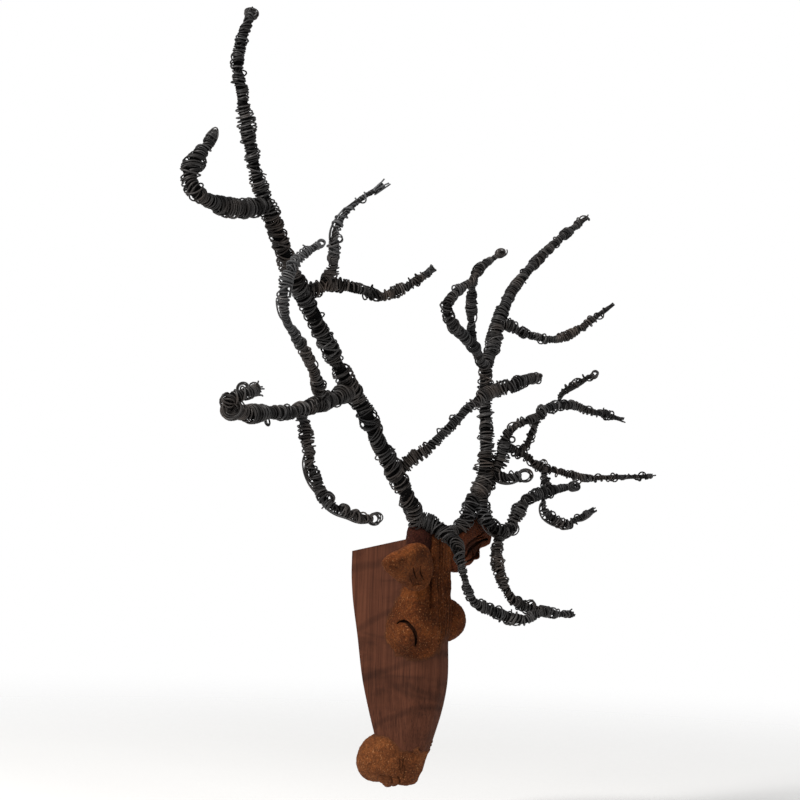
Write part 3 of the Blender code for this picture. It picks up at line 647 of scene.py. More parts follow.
def lattice_noise(p, scale, shift=0.0):
    """Smooth noise from -1 to 1 whose lumps are about scale millimetres wide."""
    q = p / scale + shift
    cell = np.floor(q).astype(int)
    part = q - cell
    part = part * part * (3 - 2 * part)
    total = 0.0
    for corner in range(8):
        offset = np.array([(corner >> axis) & 1 for axis in range(3)])
        weight = np.prod(np.where(offset, part, 1 - part), axis=-1)
        index = (cell + offset) % NOISE_SIZE
        total = total + weight * NOISE_TABLE[index[..., 0], index[..., 1], index[..., 2]]
    return total


def ellipsoid(p, centre, radii):
    """Roughly the distance to an ellipsoid, negative inside it."""
    q = p - centre
    near = np.linalg.norm(q / radii, axis=-1)
    steep = np.linalg.norm(q / np.square(radii), axis=-1)
    return near * (near - 1) / np.maximum(steep, 1e-6)


def smooth_min(a, b, k):
    h = np.clip(0.5 + 0.5 * (b - a) / k, 0, 1)
    return b + (a - b) * h - k * h * (1 - h)


def smooth_max(a, b, k):
    return -smooth_min(-a, -b, k)


def rounded(passed, radius):
    """Distance to the body inside all limits, by how far each is passed; its edges rounded."""
    passed = np.stack(passed, axis=-1)
    outside = np.linalg.norm(np.maximum(passed, 0), axis=-1)
    return outside + np.minimum(passed.max(-1), 0) - radius


def tube_distance(p, line, radii):
    """Distance to a thick line through a list of points, with a radius at each point."""
    line = np.asarray(line, float)
    best = np.full(p.shape[:-1], np.inf)
    for start, end, r0, r1 in zip(line[:-1], line[1:], radii[:-1], radii[1:]):
        axis = end - start
        t = np.clip(((p - start) @ axis) / (axis @ axis), 0, 1)
        gap = np.linalg.norm(p - start - t[..., None] * axis, axis=-1) - (r0 + (r1 - r0) * t)
        best = np.minimum(best, gap)
    return best


def measure(field, points):
    """A field's value at each point, its rise along the three axes, and that rise's square."""
    value = field(points)
    rise = np.stack([(field(points + move) - value) / PROBE for move in PROBE * np.eye(3)], axis=1)
    return value, rise, (rise ** 2).sum(1)


def settle(field, line):
    """Move a line's points onto the surface of a field; also gives the outward directions there."""
    line = np.asarray(line, float)
    for _ in range(SETTLE_ROUNDS):
        value, rise, steep = measure(field, line)
        line = line - 0.8 * (value / np.maximum(steep, 0.2))[:, None] * rise
    return line, unit(rise)


class Grooves:
    """A field with grooves cut in it: (line near its surface, widths along the line, depth)."""

    def __init__(self, field, cuts, uncut=None):
        self.field = field
        self.uncut = uncut
        self.tubes = []
        for line, widths, depth in cuts:
            line, outward = settle(field, line)
            widths = np.broadcast_to(widths, len(line))
            margin = 2.5 + widths.max()
            for level in np.arange(0, max(depth, 0.01), 0.8 * widths.max()):
                sunk = line - outward * level
                self.tubes.append((sunk, widths, sunk.min(0) - margin, sunk.max(0) + margin))

    def __call__(self, p):
        flat = p.reshape(-1, 3)
        value = self.field(flat)
        for line, widths, low, high in self.tubes:
            near = np.flatnonzero(np.all((flat > low) & (flat < high), axis=1))
            groove = tube_distance(flat[near], line, widths)
            value[near] = smooth_max(value[near], -groove, GROOVE_FILLET)
        return value.reshape(p.shape[:-1])

    def depth(self, p):
        """How far points lie inside the uncut surface, in millimetres; a dish counts for less."""
        if self.uncut:
            return -0.7 * self.field(p) - 0.3 * self.uncut(p)
        return -self.field(p)


def along_axis(axis, cut, rest=slice(None)):
    """An index into a grid that cuts one axis, and treats the other two alike."""
    return tuple(cut if a == axis else rest for a in range(3))


def grid_surface(field, low, high, step):
    """Surface of a distance field on a grid, as points in millimetres and quads facing outward."""
    counts = np.ceil(np.subtract(high, low) / step).astype(int) + 1
    axes = [low[a] + step * np.arange(counts[a]) for a in range(3)]
    p = np.stack(np.meshgrid(*axes, indexing="ij"), axis=-1)
    slabs = range(0, counts[0], SLAB)
    values = np.concatenate([field(p[start:start + SLAB]) for start in slabs])
    inside = values < 0
    cells = counts - 1
    total = np.zeros((*cells, 3))
    hits = np.zeros(cells)
    for axis in range(3):
        here, there = along_axis(axis, slice(0, -1)), along_axis(axis, slice(1, None))
        crossing = inside[here] != inside[there]
        drop = np.where(crossing, values[here] - values[there], 1)
        point = p[here].copy()
        point[..., axis] += np.where(crossing, values[here] / drop, 0) * step
        first, second = (other for other in range(3) if other != axis)
        for i, j in ((0, 0), (0, 1), (1, 0), (1, 1)):
            pick = [slice(None)] * 3
            pick[first] = slice(i, i + cells[first])
            pick[second] = slice(j, j + cells[second])
            mask = crossing[tuple(pick)]
            total += point[tuple(pick)] * mask[..., None]
            hits += mask
    used = hits > 0
    numbers = np.full(cells, -1)
    numbers[used] = np.arange(used.sum())
    points = total[used] / hits[used][:, None]
    quads = []
    for axis in range(3):
        inner = slice(1, -1)
        first = inside[along_axis(axis, slice(0, -1), inner)]
        second = inside[along_axis(axis, slice(1, None), inner)]
        corner = np.argwhere(first != second) + 1
        corner[:, axis] -= 1
        around = []
        for i, j in ((0, 0), (1, 0), (1, 1), (0, 1)):
            cell = corner.copy()
            cell[:, (axis + 1) % 3] -= i
            cell[:, (axis + 2) % 3] -= j
            around.append(numbers[tuple(cell.T)])
        quad = np.stack(around, axis=1)
        quads.append(np.where(first[first != second][:, None], quad, quad[:, ::-1]))
    for _ in range(3):
        value, rise, steep = measure(field, points)
        move = np.clip(value / np.maximum(steep, 0.05), -0.4 * step, 0.4 * step)
        points = points - move[:, None] * rise
    return points, np.concatenate(quads).tolist()


# The wooden block from top to bottom: (height, back, front, half width, chamfer width).
BLOCK_SECTIONS = [
    (2, 0, -69.4, 21, 14),
    (-15, -1.2, -70.5, 21, 14),
    (-50, -7.4, -72.5, 21, 14),
    (-85, -13.5, -73, 20.5, 14),
    (-103, -18, -69.5, 19.5, 13),
    (-120, -22.5, -64.5, 18, 12),
    (-134, -26.5, -60, 16.5, 11),
]
BLOCK_FOOT = -134
BLOCK_TOP_BACK = 15             # height of the sloping top at the wall
BLOCK_TOP_FRONT = 28.5          # its height from BLOCK_TOP_REACH forward
BLOCK_TOP_REACH = -56.5
BLOCK_LEVELS = 60
CORNER_SIZE = 3.52              # how far from a front corner its rounding starts
EDGE_WEAR = 0.9
NAIL_RADIUS = 3.0
NAIL_DEPTH = 14.0
NAIL_HEIGHT = 8.0
NAIL_RISE = 2.0


def block_at(z):
    """Back, front, half width and chamfer of the block at heights z, eased between sections."""
    rows = np.asarray(BLOCK_SECTIONS[::-1], float)
    heights = rows[:, 0]
    z = np.clip(z, heights[0], heights[-1])
    slopes = np.gradient(rows[:, 1:], heights, axis=0)
    slopes[-1] = 0
    index = np.clip(np.searchsorted(heights, z, side="right") - 1, 0, len(heights) - 2)
    span = heights[index + 1] - heights[index]
    t = (z - heights[index]) / span
    found = []
    for column in range(4):
        start, end = rows[index, column + 1], rows[index + 1, column + 1]
        rise, fall = slopes[index, column] * span, slopes[index + 1, column] * span
        found.append((2 * t ** 3 - 3 * t ** 2 + 1) * start + (t ** 3 - 2 * t ** 2 + t) * rise
                     + (3 * t ** 2 - 2 * t ** 3) * end + (t ** 3 - t ** 2) * fall)
    return found


def wood_distance(p):
    """Roughly the distance to the wooden block, negative inside it."""
    back, front, half, chamfer = block_at(p[..., 2])
    across = np.abs(p[..., 0])
    side = across - half
    face = front - p[..., 1]
    slant = (across - (half - chamfer) + face) / math.sqrt(2)
    rear = p[..., 1] - back
    top = BLOCK_TOP_BACK + (BLOCK_TOP_FRONT - BLOCK_TOP_BACK) * p[..., 1] / BLOCK_TOP_REACH
    above = p[..., 2] - np.clip(top, 0, BLOCK_TOP_FRONT)
    return np.maximum.reduce([side, face, slant, rear, above, BLOCK_FOOT - p[..., 2]])


def pressed_on(field, p, fillet, sink):
    """Clay pressed onto the wood: it feathers out over the surface and vanishes just under it."""
    ragged = sink + 0.5 * lattice_noise(p, 3.1, 4.0) + 0.35 * lattice_noise(p, 1.3, 9.0)
    return smooth_min(field, wood_distance(p) + ragged, fillet)


def clay_lumps(p, fine=0.16):
    """The clay's unevenness: broad, middling and fine lumps."""
    return (0.35 * lattice_noise(p, 7.0) + 0.22 * lattice_noise(p, 2.6, 11.0)
            + fine * lattice_noise(p, 1.05, 5.0))


def mirrored(line, rise=0):
    return [(-x, y, z + rise) for x, y, z in line]


EYE_SLIT = [(-32.5, -49.5, -36.6), (-32, -52, -34.7), (-31.7, -55, -34.3), (-31.6, -57.5, -34.9),
            (-31.5, -59.5, -36.1), (-31, -61.8, -38.2), (-30.6, -63.6, -40.5), (-30, -65, -43.2),
            (-28.9, -65.3, -46.2), (-27.7, -64.6, -49.4), (-26.7, -63.2, -52.8)]
EYE_SLIT_WIDTHS = [0.6, 0.9, 1.1, 1.2, 1.3, 1.4, 1.4, 1.4, 1.3, 1.0, 0.5]
BROW_CREASE = [(-29.5, -56, -22.5), (-28, -59, -20.8), (-25.5, -62, -20.3), (-23, -65, -21)]
TEMPLE_GROOVE = [(-18.5, -68, 22), (-18.5, -69, 8), (-18, -69.5, -8), (-17.5, -70, -24)]
# Lines combed into the forelock: (place across, top, bottom).
HAIR_LINES = [(-10.5, 26, -20), (-8.2, 10, -48), (-6.0, 24, -8), (-4.2, 2, -50), (-2.0, 27, -24),
              (0.2, 8, -50), (2.2, 25, -12), (4.4, 4, -50), (6.5, 26, -26), (8.6, 12, -46),
              (10.6, 24, -18), (-9.4, -12, -50), (-7.0, -16, -53), (-3.0, -14, -50),
              (1.2, -12, -52), (5.6, -14, -48), (-11.6, 4, -40)]
RIGHT_EYE_RISE = 5              # the right eye's slit sits higher than the left one's mirror image


CREST_MIDDLE = -2.5
CREST_HALF = 13
CREST_THICK = 2.3
CREST_TOP = 28.6
CREST_FOOT = -56
CREST_EDGE = 3
CREST_INSIDE = 12               # how far the clay reaches into the block, behind its surface


def crest_distance(p):
    """The forelock: a rounded strip standing off the block's front, fuller at the top."""
    _, front, _, _ = block_at(p[..., 2])
    across = np.abs(p[..., 0] - CREST_MIDDLE)
    out = front - p[..., 1]
    half = CREST_HALF + 0.5 * lattice_noise(p, 9.0, 3.0)
    thick = CREST_THICK - 7.5 * np.square(np.clip((-p[..., 2] - 26) / 32, 0.0, 1))
    bow = thick * (1 - 0.25 * np.square(across / CREST_HALF))
    outer = rounded([across - half + CREST_EDGE, out - bow + 2.6, p[..., 2] - CREST_TOP,
                     CREST_FOOT - p[..., 2]], CREST_EDGE)
    return np.maximum(outer, -out - CREST_INSIDE)


def face_mass(p):
    """Crest, temples, both eye mounds and the cheeks' feathered edges, in one mass of clay."""
    left = ellipsoid(p, (-15.5, -54, -41), (17.5, 19, 20))
    lid = ellipsoid(p, (-30.5, -57.0, -45.5), (4.8, 8.0, 8.5))
    right = ellipsoid(p, (22, -56.5, -35.8), (15.6, 19.5, 17.0))
    cheek = ellipsoid(p, (-13.5, -52, -44.5), (11.0, 17, 15))
    film = tube_distance(p, [(-18.5, -54, -6), (-18.5, -47, -27)], [4.0, 4.5])
    temples = np.minimum(tube_distance(p, [(-18, -61, 18), (-18.5, -60, -26)], [5.0, 6.5]),
                         tube_distance(p, [(15.5, -61, 18), (16, -61, -30)], [5.0, 5.5]))
    fillet = np.interp(p[..., 0], (-6, 8), (8.0, 3.0))
    mass = smooth_min(smooth_min(left, lid, 2.0), right, 4)
    mass = smooth_min(smooth_min(mass, cheek, 7), film, 5)
    mass = smooth_min(smooth_min(crest_distance(p), temples, 2.5), mass, fillet)
    mass = pressed_on(mass, p, fillet, 1.3) + clay_lumps(p)
    return np.maximum(mass, p[..., 2] - 31.8)


def face_field():
    cuts = []
    for line, rise, widths, depth in ((EYE_SLIT, RIGHT_EYE_RISE, EYE_SLIT_WIDTHS, 3.2),
                                      (BROW_CREASE, RIGHT_EYE_RISE, [0.4, 1.0, 1.0, 0.4], 0.8),
                                      (TEMPLE_GROOVE, 0, [0.8, 1.0, 1.0, 0.4], 0.9)):
        cuts += [(line, widths, depth), (mirrored(line, rise), widths, depth)]
    for number, (x, top, bottom) in enumerate(HAIR_LINES):
        heights = np.linspace(top, bottom, 8)
        sway = 0.6 * np.sin(heights / 9 + number)
        front = block_at(heights)[1]
        cuts.append((np.stack([x + sway, front - 3, heights], axis=1), 0.55, 0.6))
    return Grooves(face_mass, cuts)


def outline_distance(q, outline):
    """Distance in the plane to a closed outline, negative inside it."""
    best = np.full(q.shape[:-1], np.inf)
    crossings = np.zeros(q.shape[:-1], int)
    for start, end in zip(outline, np.roll(outline, -1, axis=0)):
        edge = end - start
        t = np.clip(((q - start) @ edge) / max(edge @ edge, 1e-9), 0, 1)
        best = np.minimum(best, np.linalg.norm(q - start - t[..., None] * edge, axis=-1))
        spans = (start[1] > q[..., 1]) != (end[1] > q[..., 1])
        rise = end[1] - start[1] if abs(end[1] - start[1]) > 1e-9 else 1e-9
        where = start[0] + (q[..., 1] - start[1]) * edge[0] / rise
        crossings += spans & (q[..., 0] < where)
    return np.where(crossings % 2 == 1, -best, best)


# Outlines of the ears in the plane y = 0, and the lines cut in them: (line, width, depth).
EAR_OUTLINES = {
    "left": [(-37, 25), (-25, 23), (-17, 14), (-15, 3), (-23, -9), (-34, -11), (-50, -6),
             (-63, 0), (-73, 6), (-75, 13), (-66, 18), (-52, 21)],
    "right": [(20, 28), (30, 35), (38, 41), (46, 43.5), (55, 40.5), (64, 35), (69.5, 29.5),
              (70, 24), (67, 20.5), (59, 18), (55, 13.5), (51, 10.5), (45.5, 10), (41, 6.5),
              (33, 5), (22, 1), (12, 8), (14, 20)],
}
EAR_CUTS = {
    "left": [
        ([(-52, -72, 3), (-47, -72.5, -1.5), (-42.5, -72, -6.5)], 0.55, 0.7),
        ([(-47, -72, 7), (-42.5, -72.5, 2.5), (-37.5, -72, -2)], 0.7, 1.2),
        ([(-37, -72, 8), (-33.5, -72.5, 2), (-29.5, -72, -3)], 0.65, 1.2),
        ([(-44, -72, -8), (-39, -72.5, -5), (-33, -72, -6)], 0.5, 0.6),
        ([(-68, -71, 12), (-63, -72, 13), (-59, -72, 12)], 0.45, 0.5),
    ],
    "right": [
        ([(26, -70, 12), (45, -70.5, 20), (60, -70, 26), (73, -69, 27)], 1.4, 2.6),
        ([(30, -70, 21), (45, -70.5, 28), (60, -70, 34)], 1.0, 1.8),
        ([(30, -70, 9), (46, -70.5, 13), (60, -70, 18)], 1.0, 1.8),
        ([(28, -70, 17), (40, -70.5, 23), (52, -70, 28), (66, -69, 31)], 0.8, 1.6),
        ([(36, -70, 10), (44, -70.5, 16), (50, -70, 24)], 0.8, 1.4),
        ([(48, -70, 12), (54, -70.5, 18), (57, -70, 27)], 0.8, 1.4),
    ],
}


# The ears' other sizes: middle along y, radius of the rim, half of the flat thickness inside
# it, and the dish pressed into the front as an ellipsoid's centre and radii.
EAR_BODIES = {
    "left": (-65.8, 6.6, 0.3, (-40, -78.4, -1), (21, 8.8, 12)),
    "right": (-66.5, 4.4, 1.2, (50, -74.0, 20), (22, 6.5, 7.5)),
}


def ear_field(side):
    """A leaf of clay with a thick rim round a shallow dish, and lines cut in towards its root."""
    outline = smooth_loop(EAR_OUTLINES[side])
    middle, rim, core, dish_centre, dish_radii = EAR_BODIES[side]

    def uncut(p):
        flat = outline_distance(p[..., [0, 2]], outline)
        return rounded([flat + rim, np.abs(p[..., 1] - middle) - core], rim)

    def leaf(p):
        dish = ellipsoid(p, dish_centre, dish_radii)
        return smooth_max(uncut(p), -dish, 3) + clay_lumps(p, 0.12)

    cuts = [(line, [width * 0.6] + [width] * (len(line) - 2) + [width * 0.4], depth)
            for line, width, depth in EAR_CUTS[side]]
    return Grooves(leaf, cuts, uncut)


def pedicle_field(centre):
    """A lump of clay with shallow flutes, round the root of an antler."""
    x, y, z = centre

    def field(p):
        dome = ellipsoid(p, centre, (10, 10.5, 12))
        foot = ellipsoid(p, (x * 0.95, y, z - 9), (10, 10.5, 9))
        flutes = np.cos(9 * np.arctan2(p[..., 1] - y, p[..., 0] - x) + 0.2 * p[..., 2])
        return smooth_min(dome, foot, 5) + clay_lumps(p) + 0.175 * flutes

    return field


# The muzzle's sections, flush with the block above: (height, back, front, half width, chamfer).
MUZZLE_SECTIONS = [
    (-167, -26, -44, 11, 6), (-160, -24, -49.2, 13.8, 8), (-150, -24, -54.2, 15.8, 10),
    (-142, -25, -56.6, 16.6, 11), (-134, -26.5, -59.3, 17.0, 11.2),
    (-120, -22.5, -64.3, 18.4, 12.2),
]
# Ellipsoids that swell the muzzle and the chin: (centre, radii).
CHIN_LOBES = [((0, -18, -143), (21.0, 15.5, 16.5)), ((0, -14.5, -148.5), (17, 11, 13)),
              ((-12.5, -29.5, -139.5), (10.8, 19.5, 17.5)),
              ((12.5, -29.5, -139.5), (10.8, 19.5, 17.5))]
LIP_AND_NOSTRIL_LUMPS = [
    ((-4, -29, -159), (6, 4.5, 5.5)), ((4, -29, -159), (6, 4.5, 5.5)),
    ((-4, -44.5, -157.3), (7, 5.4, 4.4)), ((4, -43.5, -157.3), (7, 5.4, 4.4)),
    ((-7.6, -56.4, -133.6), (4.0, 2.8, 3.2)), ((7.6, -54.6, -133.6), (4.0, 2.8, 3.2)),
]
# Wrinkles on both sides of the lip: (start, end, width).
LIP_WRINKLES = [
    ((17, -47, -140), (16, -46, -149), 0.5), ((17, -51, -141), (16, -50, -150), 0.5),
    ((16, -38, -154), (13, -38, -162), 0.6), ((15, -45, -155), (12, -44, -162), 0.6),
    ((14, -51, -146), (12, -49, -156), 0.5),
]


def muzzle_mass(p):
    """Muzzle and chin: a tapered cap under the block, a ball behind it and a lobed lip."""
    heights, *columns = np.transpose(MUZZLE_SECTIONS)
    back, front, half, chamfer = (np.interp(p[..., 2], heights, column) for column in columns)
    across = np.abs(p[..., 0])
    slant = (across - half + chamfer + front - p[..., 1]) / math.sqrt(2)
    cap = smooth_max(smooth_max(across - half, front - p[..., 1], 2), slant, 2.5)
    cap = smooth_max(cap, p[..., 1] - back, 4)
    upper = np.clip(-127.5 - 0.8 * np.maximum(p[..., 1] + 59, 0), -133.2, -127.5)
    upper += 0.8 * lattice_noise(p, 4.0, 2.0)
    cap = smooth_max(smooth_max(cap, -161.2 - p[..., 2], 4.5), p[..., 2] - upper, 0.8)
    ball = ellipsoid(p, *CHIN_LOBES[0])
    for lobe in CHIN_LOBES[1:]:
        ball = smooth_min(ball, ellipsoid(p, *lobe), 5)
    mass = smooth_min(cap, ball, 2.5)
    for lump in LIP_AND_NOSTRIL_LUMPS:
        mass = smooth_min(mass, ellipsoid(p, *lump), 2.0)
    mass = pressed_on(mass, p, 2.5, 0.9) + clay_lumps(p, 0.2)
    return np.maximum(mass, p[..., 2] + 117)


def muzzle_field():
    """The muzzle with its chin notch, and on each side a nostril, the arc over it, the line of the
    mouth and the lip's wrinkles.
    """
    cuts = [([(-8, -24, -159), (-4, -23.5, -159.5), (4, -23.5, -159.5), (8, -24, -159)],
             [0.6, 1.4, 1.4, 0.6], 1.6)]
    nostril = [(-5.8, -62.4, -132.0), (-7.0, -61.2, -132.8), (-8.6, -59.2, -132.4)]
    arc = [(-12, -55, -132), (-10, -58, -129.6), (-7, -61, -128.8), (-4, -62, -130)]
    mouth = [(-16.5, -31, -152), (-16.5, -37, -155), (-14, -43, -156)]
    side_cuts = [(nostril, [0.5, 1.1, 0.6], 1.2), (arc, [0.3, 0.6, 0.6, 0.3], 0.5),
                 (mouth, [0.9, 0.6, 0.3], 0.5)]
    for (x, y, z), (x1, y1, z1), width in LIP_WRINKLES:
        middle = (-(x + x1) / 2, (y + y1) / 2 - 0.8, (z + z1) / 2)
        side_cuts.append(([(-x, y, z), middle, (-x1, y1, z1)], width, 0.5))
    cuts += side_cuts + [(mirrored(line), widths, depth) for line, widths, depth in side_cuts]
    return Grooves(muzzle_mass, cuts)


def clay_piece(name, field, low, high, step, material, nodes):
    """Mesh a field of clay, with how deep in a groove and how thick over the wood each point is."""
    points, faces = grid_surface(field, low, high, step)
    piece = piece_from(name, points, faces, material, nodes)
    sunk = field.depth(points) if isinstance(field, Grooves) else np.zeros(len(points))
    # the depth in a groove sets the material's painted shade there
    set_attribute(piece, "groove", np.clip(sunk / DEEP_GROOVE, 0, 1))
    set_attribute(piece, "film", np.clip(wood_distance(points) / THICK_CLAY, 0, 1))


# The clays: (dark, middle and light colour, strength of the pale grit, painted light on upward
# faces).
CLAYS = {
    "face_clay": ((0.040, 0.010, 0.0026), (0.098, 0.026, 0.0062), (0.17, 0.050, 0.011), 0.7, 1.0),
    "ear_clay": ((0.062, 0.0165, 0.0045), (0.132, 0.037, 0.0095), (0.205, 0.062, 0.0155), 0.7, 1.6),
    "muzzle_clay": ((0.070, 0.021, 0.007), (0.145, 0.045, 0.013), (0.21, 0.070, 0.02), 0.9, 1.0),
    "dark_clay": ((0.016, 0.004, 0.003), (0.040, 0.010, 0.006), (0.075, 0.018, 0.009), 0.2, 1.0),
    "red_clay": ((0.046, 0.011, 0.004), (0.098, 0.024, 0.008), (0.16, 0.044, 0.014), 0.3, 1.0),
}
PEDICLES = {"left": (-15, -57, 30), "right": (15, -57, 23)}
DEEP_GROOVE = 1.8               # depth at which the painted shade in a groove is darkest
THICK_CLAY = 4.0                # thickness from which clay hides the wood's colour wholly


def build_clay():
    """Every piece of clay: its field, the box it is looked for in, the grid's step and its clay."""
    clays = {name: clay_material(name, *look) for name, look in CLAYS.items()}
    clay_piece("face_clay", face_field(), (-42, -84, -76), (42, -24, 36), 0.7, clays["face_clay"],
               ["forelock_crest", "eye_mound_left", "eye_mound_right"])
    clay_piece("ear_clay_left", ear_field("left"), (-80, -76, -17), (-7, -57, 30), 0.65,
               clays["ear_clay"], ["ear_left"])
    clay_piece("ear_clay_right", ear_field("right"), (7, -76, -5), (77, -57, 51), 0.65,
               clays["red_clay"], ["ear_right"])
    for side, (x, y, z) in PEDICLES.items():
        clay_piece("pedicle_clay_" + side, pedicle_field((x, y, z)), (x - 16, y - 15, z - 22),
                   (x + 16, y + 15, z + 16), 0.7, clays["dark_clay"], ["pedicle_" + side])
    clay_piece("muzzle_clay", muzzle_field(), (-28, -70, -172), (28, -1, -112), 0.7,
               clays["muzzle_clay"], ["muzzle", "chin"])


# ---- wooden block ---------------------------------------------------------------------------
def block_plan(z):
    """Plan of the block at height z as a loop of points, its corners rounded."""
    back, front, half, chamfer = (float(v) for v in block_at(z))
    sharp = [(-half, back), (-half, front + chamfer), (-half + chamfer, front),
             (half - chamfer, front), (half, front + chamfer), (half, back)]
    sizes = [1.0] + [CORNER_SIZE] * 4 + [1.0]
    loop = []
    for index, (corner, size) in enumerate(zip(sharp, sizes)):
        here = np.array(corner)
        start = here + unit(np.array(sharp[index - 1]) - here) * size
        end = here + unit(np.array(sharp[(index + 1) % 6]) - here) * size
        for t in np.linspace(0, 1, 5):
            loop.append((1 - t) ** 2 * start + 2 * t * (1 - t) * here + t ** 2 * end)
    return np.array(loop)


def drill_nail_hole(block):
    """The hole in the back that the head hangs by, rising a little so that it can't slip off."""
    drill = bmesh.new()
    bmesh.ops.create_cone(drill, cap_ends=True, segments=24, radius1=NAIL_RADIUS * MM,
                          radius2=NAIL_RADIUS * MM, depth=2 * NAIL_DEPTH * MM)
    lean = math.atan2(NAIL_RISE, NAIL_DEPTH)
    drill.transform(Matrix.Translation((0, 0, NAIL_HEIGHT * MM))
                    @ Matrix.Rotation(math.pi / 2 - lean, 4, "X"))
    mesh = bpy.data.meshes.new("nail_drill")
    drill.to_mesh(mesh)
    drill.free()
    cutter = add_object("nail_drill", mesh)
    cut = block.modifiers.new("nail_hole", "BOOLEAN")
    cut.operation = "DIFFERENCE"
    cut.solver = "EXACT"
    cut.object = cutter
    drilled = block.evaluated_get(bpy.context.evaluated_depsgraph_get())
    drilled = bpy.data.meshes.new_from_object(drilled)
    block.modifiers.clear()
    block.data = drilled
    bpy.data.objects.remove(cutter)


def build_block(material):
    """The block as a skin of levels, with its sloping top and the nail hole in its back."""
    levels = []
    for z in np.linspace(BLOCK_SECTIONS[-1][0], BLOCK_SECTIONS[0][0], BLOCK_LEVELS):
        plan = block_plan(z)
        levels.append(np.column_stack([plan, np.full(len(plan), z)]))
    flat = levels[-1]
    slope = (BLOCK_TOP_FRONT - BLOCK_TOP_BACK) / BLOCK_TOP_REACH
    top = np.minimum(BLOCK_TOP_BACK + slope * flat[:, 1], BLOCK_TOP_FRONT)
    for share in (0.25, 0.5, 0.75, 1.0):
        level = flat.copy()
        level[:, 2] = flat[:, 2] * (1 - share) + top * share
        levels.append(level)
    count = len(flat)
    faces = []
    for low in range(0, (len(levels) - 1) * count, count):
        for side in range(count):
            after = (side + 1) % count
            faces.append((low + after, low + side, low + count + side, low + count + after))
    last = (len(levels) - 1) * count
    for base, order in ((0, 1), (last, -1)):
        for row in range(count // 2 - 1):
            quad = (row, row + 1, count - 2 - row, count - 1 - row)[::order]
            faces.append(tuple(base + corner for corner in quad))
    block = piece_from("block_wood", np.vstack(levels), faces, material, ["head_block"])
    work = bmesh.new()
    work.from_mesh(block.data)
    bmesh.ops.recalc_face_normals(work, faces=work.faces)
    work.to_mesh(block.data)
    work.free()
    drill_nail_hole(block)
    bevel = block.modifiers.new("worn_edges", "BEVEL")
    bevel.width = EDGE_WEAR * MM
    bevel.segments = 3
    bevel.limit_method = "ANGLE"
    bevel.angle_limit = math.radians(35)
    block.data.set_sharp_from_angle(angle=math.radians(60))


# ---- materials ------------------------------------------------------------------------------
class Nodes:
    """Short ways to add and join the nodes of one material."""

    def __init__(self, name):
        self.material = bpy.data.materials.new(name)
        self.material.use_nodes = True
        self.tree = self.material.node_tree
        self.shader = self.tree.nodes["Principled BSDF"]
        self.space = self.add("ShaderNodeTexCoord").outputs["Object"]

    def add(self, kind, **values):
        node = self.tree.nodes.new(kind)
        for key, value in values.items():
            setattr(node, key, value)
        return node

    def join(self, source, target):
        self.tree.links.new(source, target)

    def feed(self, node, inputs):
        """Give a node's inputs their values: a socket is joined, anything else is set."""
        for key, value in inputs.items():
            if isinstance(value, bpy.types.NodeSocket):
                self.join(value, node.inputs[key])
            else:
                node.inputs[key].default_value = value
        return node.outputs

    def stretched(self, scale, turn=(0, 0, 0)):
        node = self.add("ShaderNodeMapping")
        return self.feed(node, {"Scale": scale, "Rotation": turn, "Vector": self.space})["Vector"]

    def noise(self, scale, detail=4.0, roughness=0.55, vector=None, distortion=0.0):
        node = self.add("ShaderNodeTexNoise")
        return self.feed(node, {"Scale": scale, "Detail": detail, "Roughness": roughness,
                                "Distortion": distortion, "Vector": vector or self.space})["Fac"]

    def ramp(self, source, stops):
        node = self.add("ShaderNodeValToRGB")
        elements = node.color_ramp.elements
        while len(elements) < len(stops):
            elements.new(0.5)
        for element, (place, colour) in zip(elements, stops):
            element.position = place
            value = colour if isinstance(colour, tuple) else (colour,) * 3
            element.color = (*value, 1.0)
        return self.feed(node, {"Fac": source})["Color"]

    def mix(self, kind, share, first, second):
        """Two colours mixed; in the node's list, 6 and 7 are the colours and 2 is the result."""
        node = self.add("ShaderNodeMix", data_type="RGBA", blend_type=kind)
        first, second = ((*v, 1.0) if isinstance(v, tuple) else v for v in (first, second))
        return self.feed(node, {0: share, 6: first, 7: second})[2]

    def attribute(self, name):
        return self.add("ShaderNodeAttribute", attribute_name=name).outputs["Fac"]

    def bump(self, height, strength, distance, under=None):
        node = self.add("ShaderNodeBump")
        if under:
            self.join(under, node.inputs["Normal"])
        return self.feed(node, {"Strength": strength, "Distance": distance,
                                "Height": height})["Normal"]

    def finish(self, colour, roughness, normal, level):
        self.feed(self.shader, {"Base Color": colour, "Roughness": roughness, "Normal": normal,
                                "Specular IOR Level": level})
        return self.material


def wire_material():
    """Near-black annealed wire, browner in places, some turns duller; painted glare at some tips.
    """
    n = Nodes("dark_wire")
    bright = n.ramp(n.noise(28, 3, 0.6), [(0.30, (0.044, 0.045, 0.048)),
                                          (0.50, (0.057, 0.052, 0.050)),
                                          (0.70, (0.098, 0.070, 0.054))])
    tone = n.attribute("tone")
    colour = n.mix("MIX", tone, BLACK_WIRE, bright)
    # painted grey glare, as much as the pale attribute gives
    colour = n.mix("MIX", n.attribute("pale"), colour, PAINTED_GLARE_GREY)
    specks = n.noise(1400, 2, 0.7)
    colour = n.mix("MULTIPLY", 0.6, colour, n.ramp(specks, [(0.35, 0.55), (0.7, 1.25)]))
    rough = n.ramp(n.noise(300, 3, 0.6), [(0.3, 0.36), (0.7, 0.55)])
    gloss = n.ramp(tone, [(0.0, 0.05), (1.0, 0.55)])
    return n.finish(colour, rough, n.bump(specks, 0.25, 0.0002), gloss)


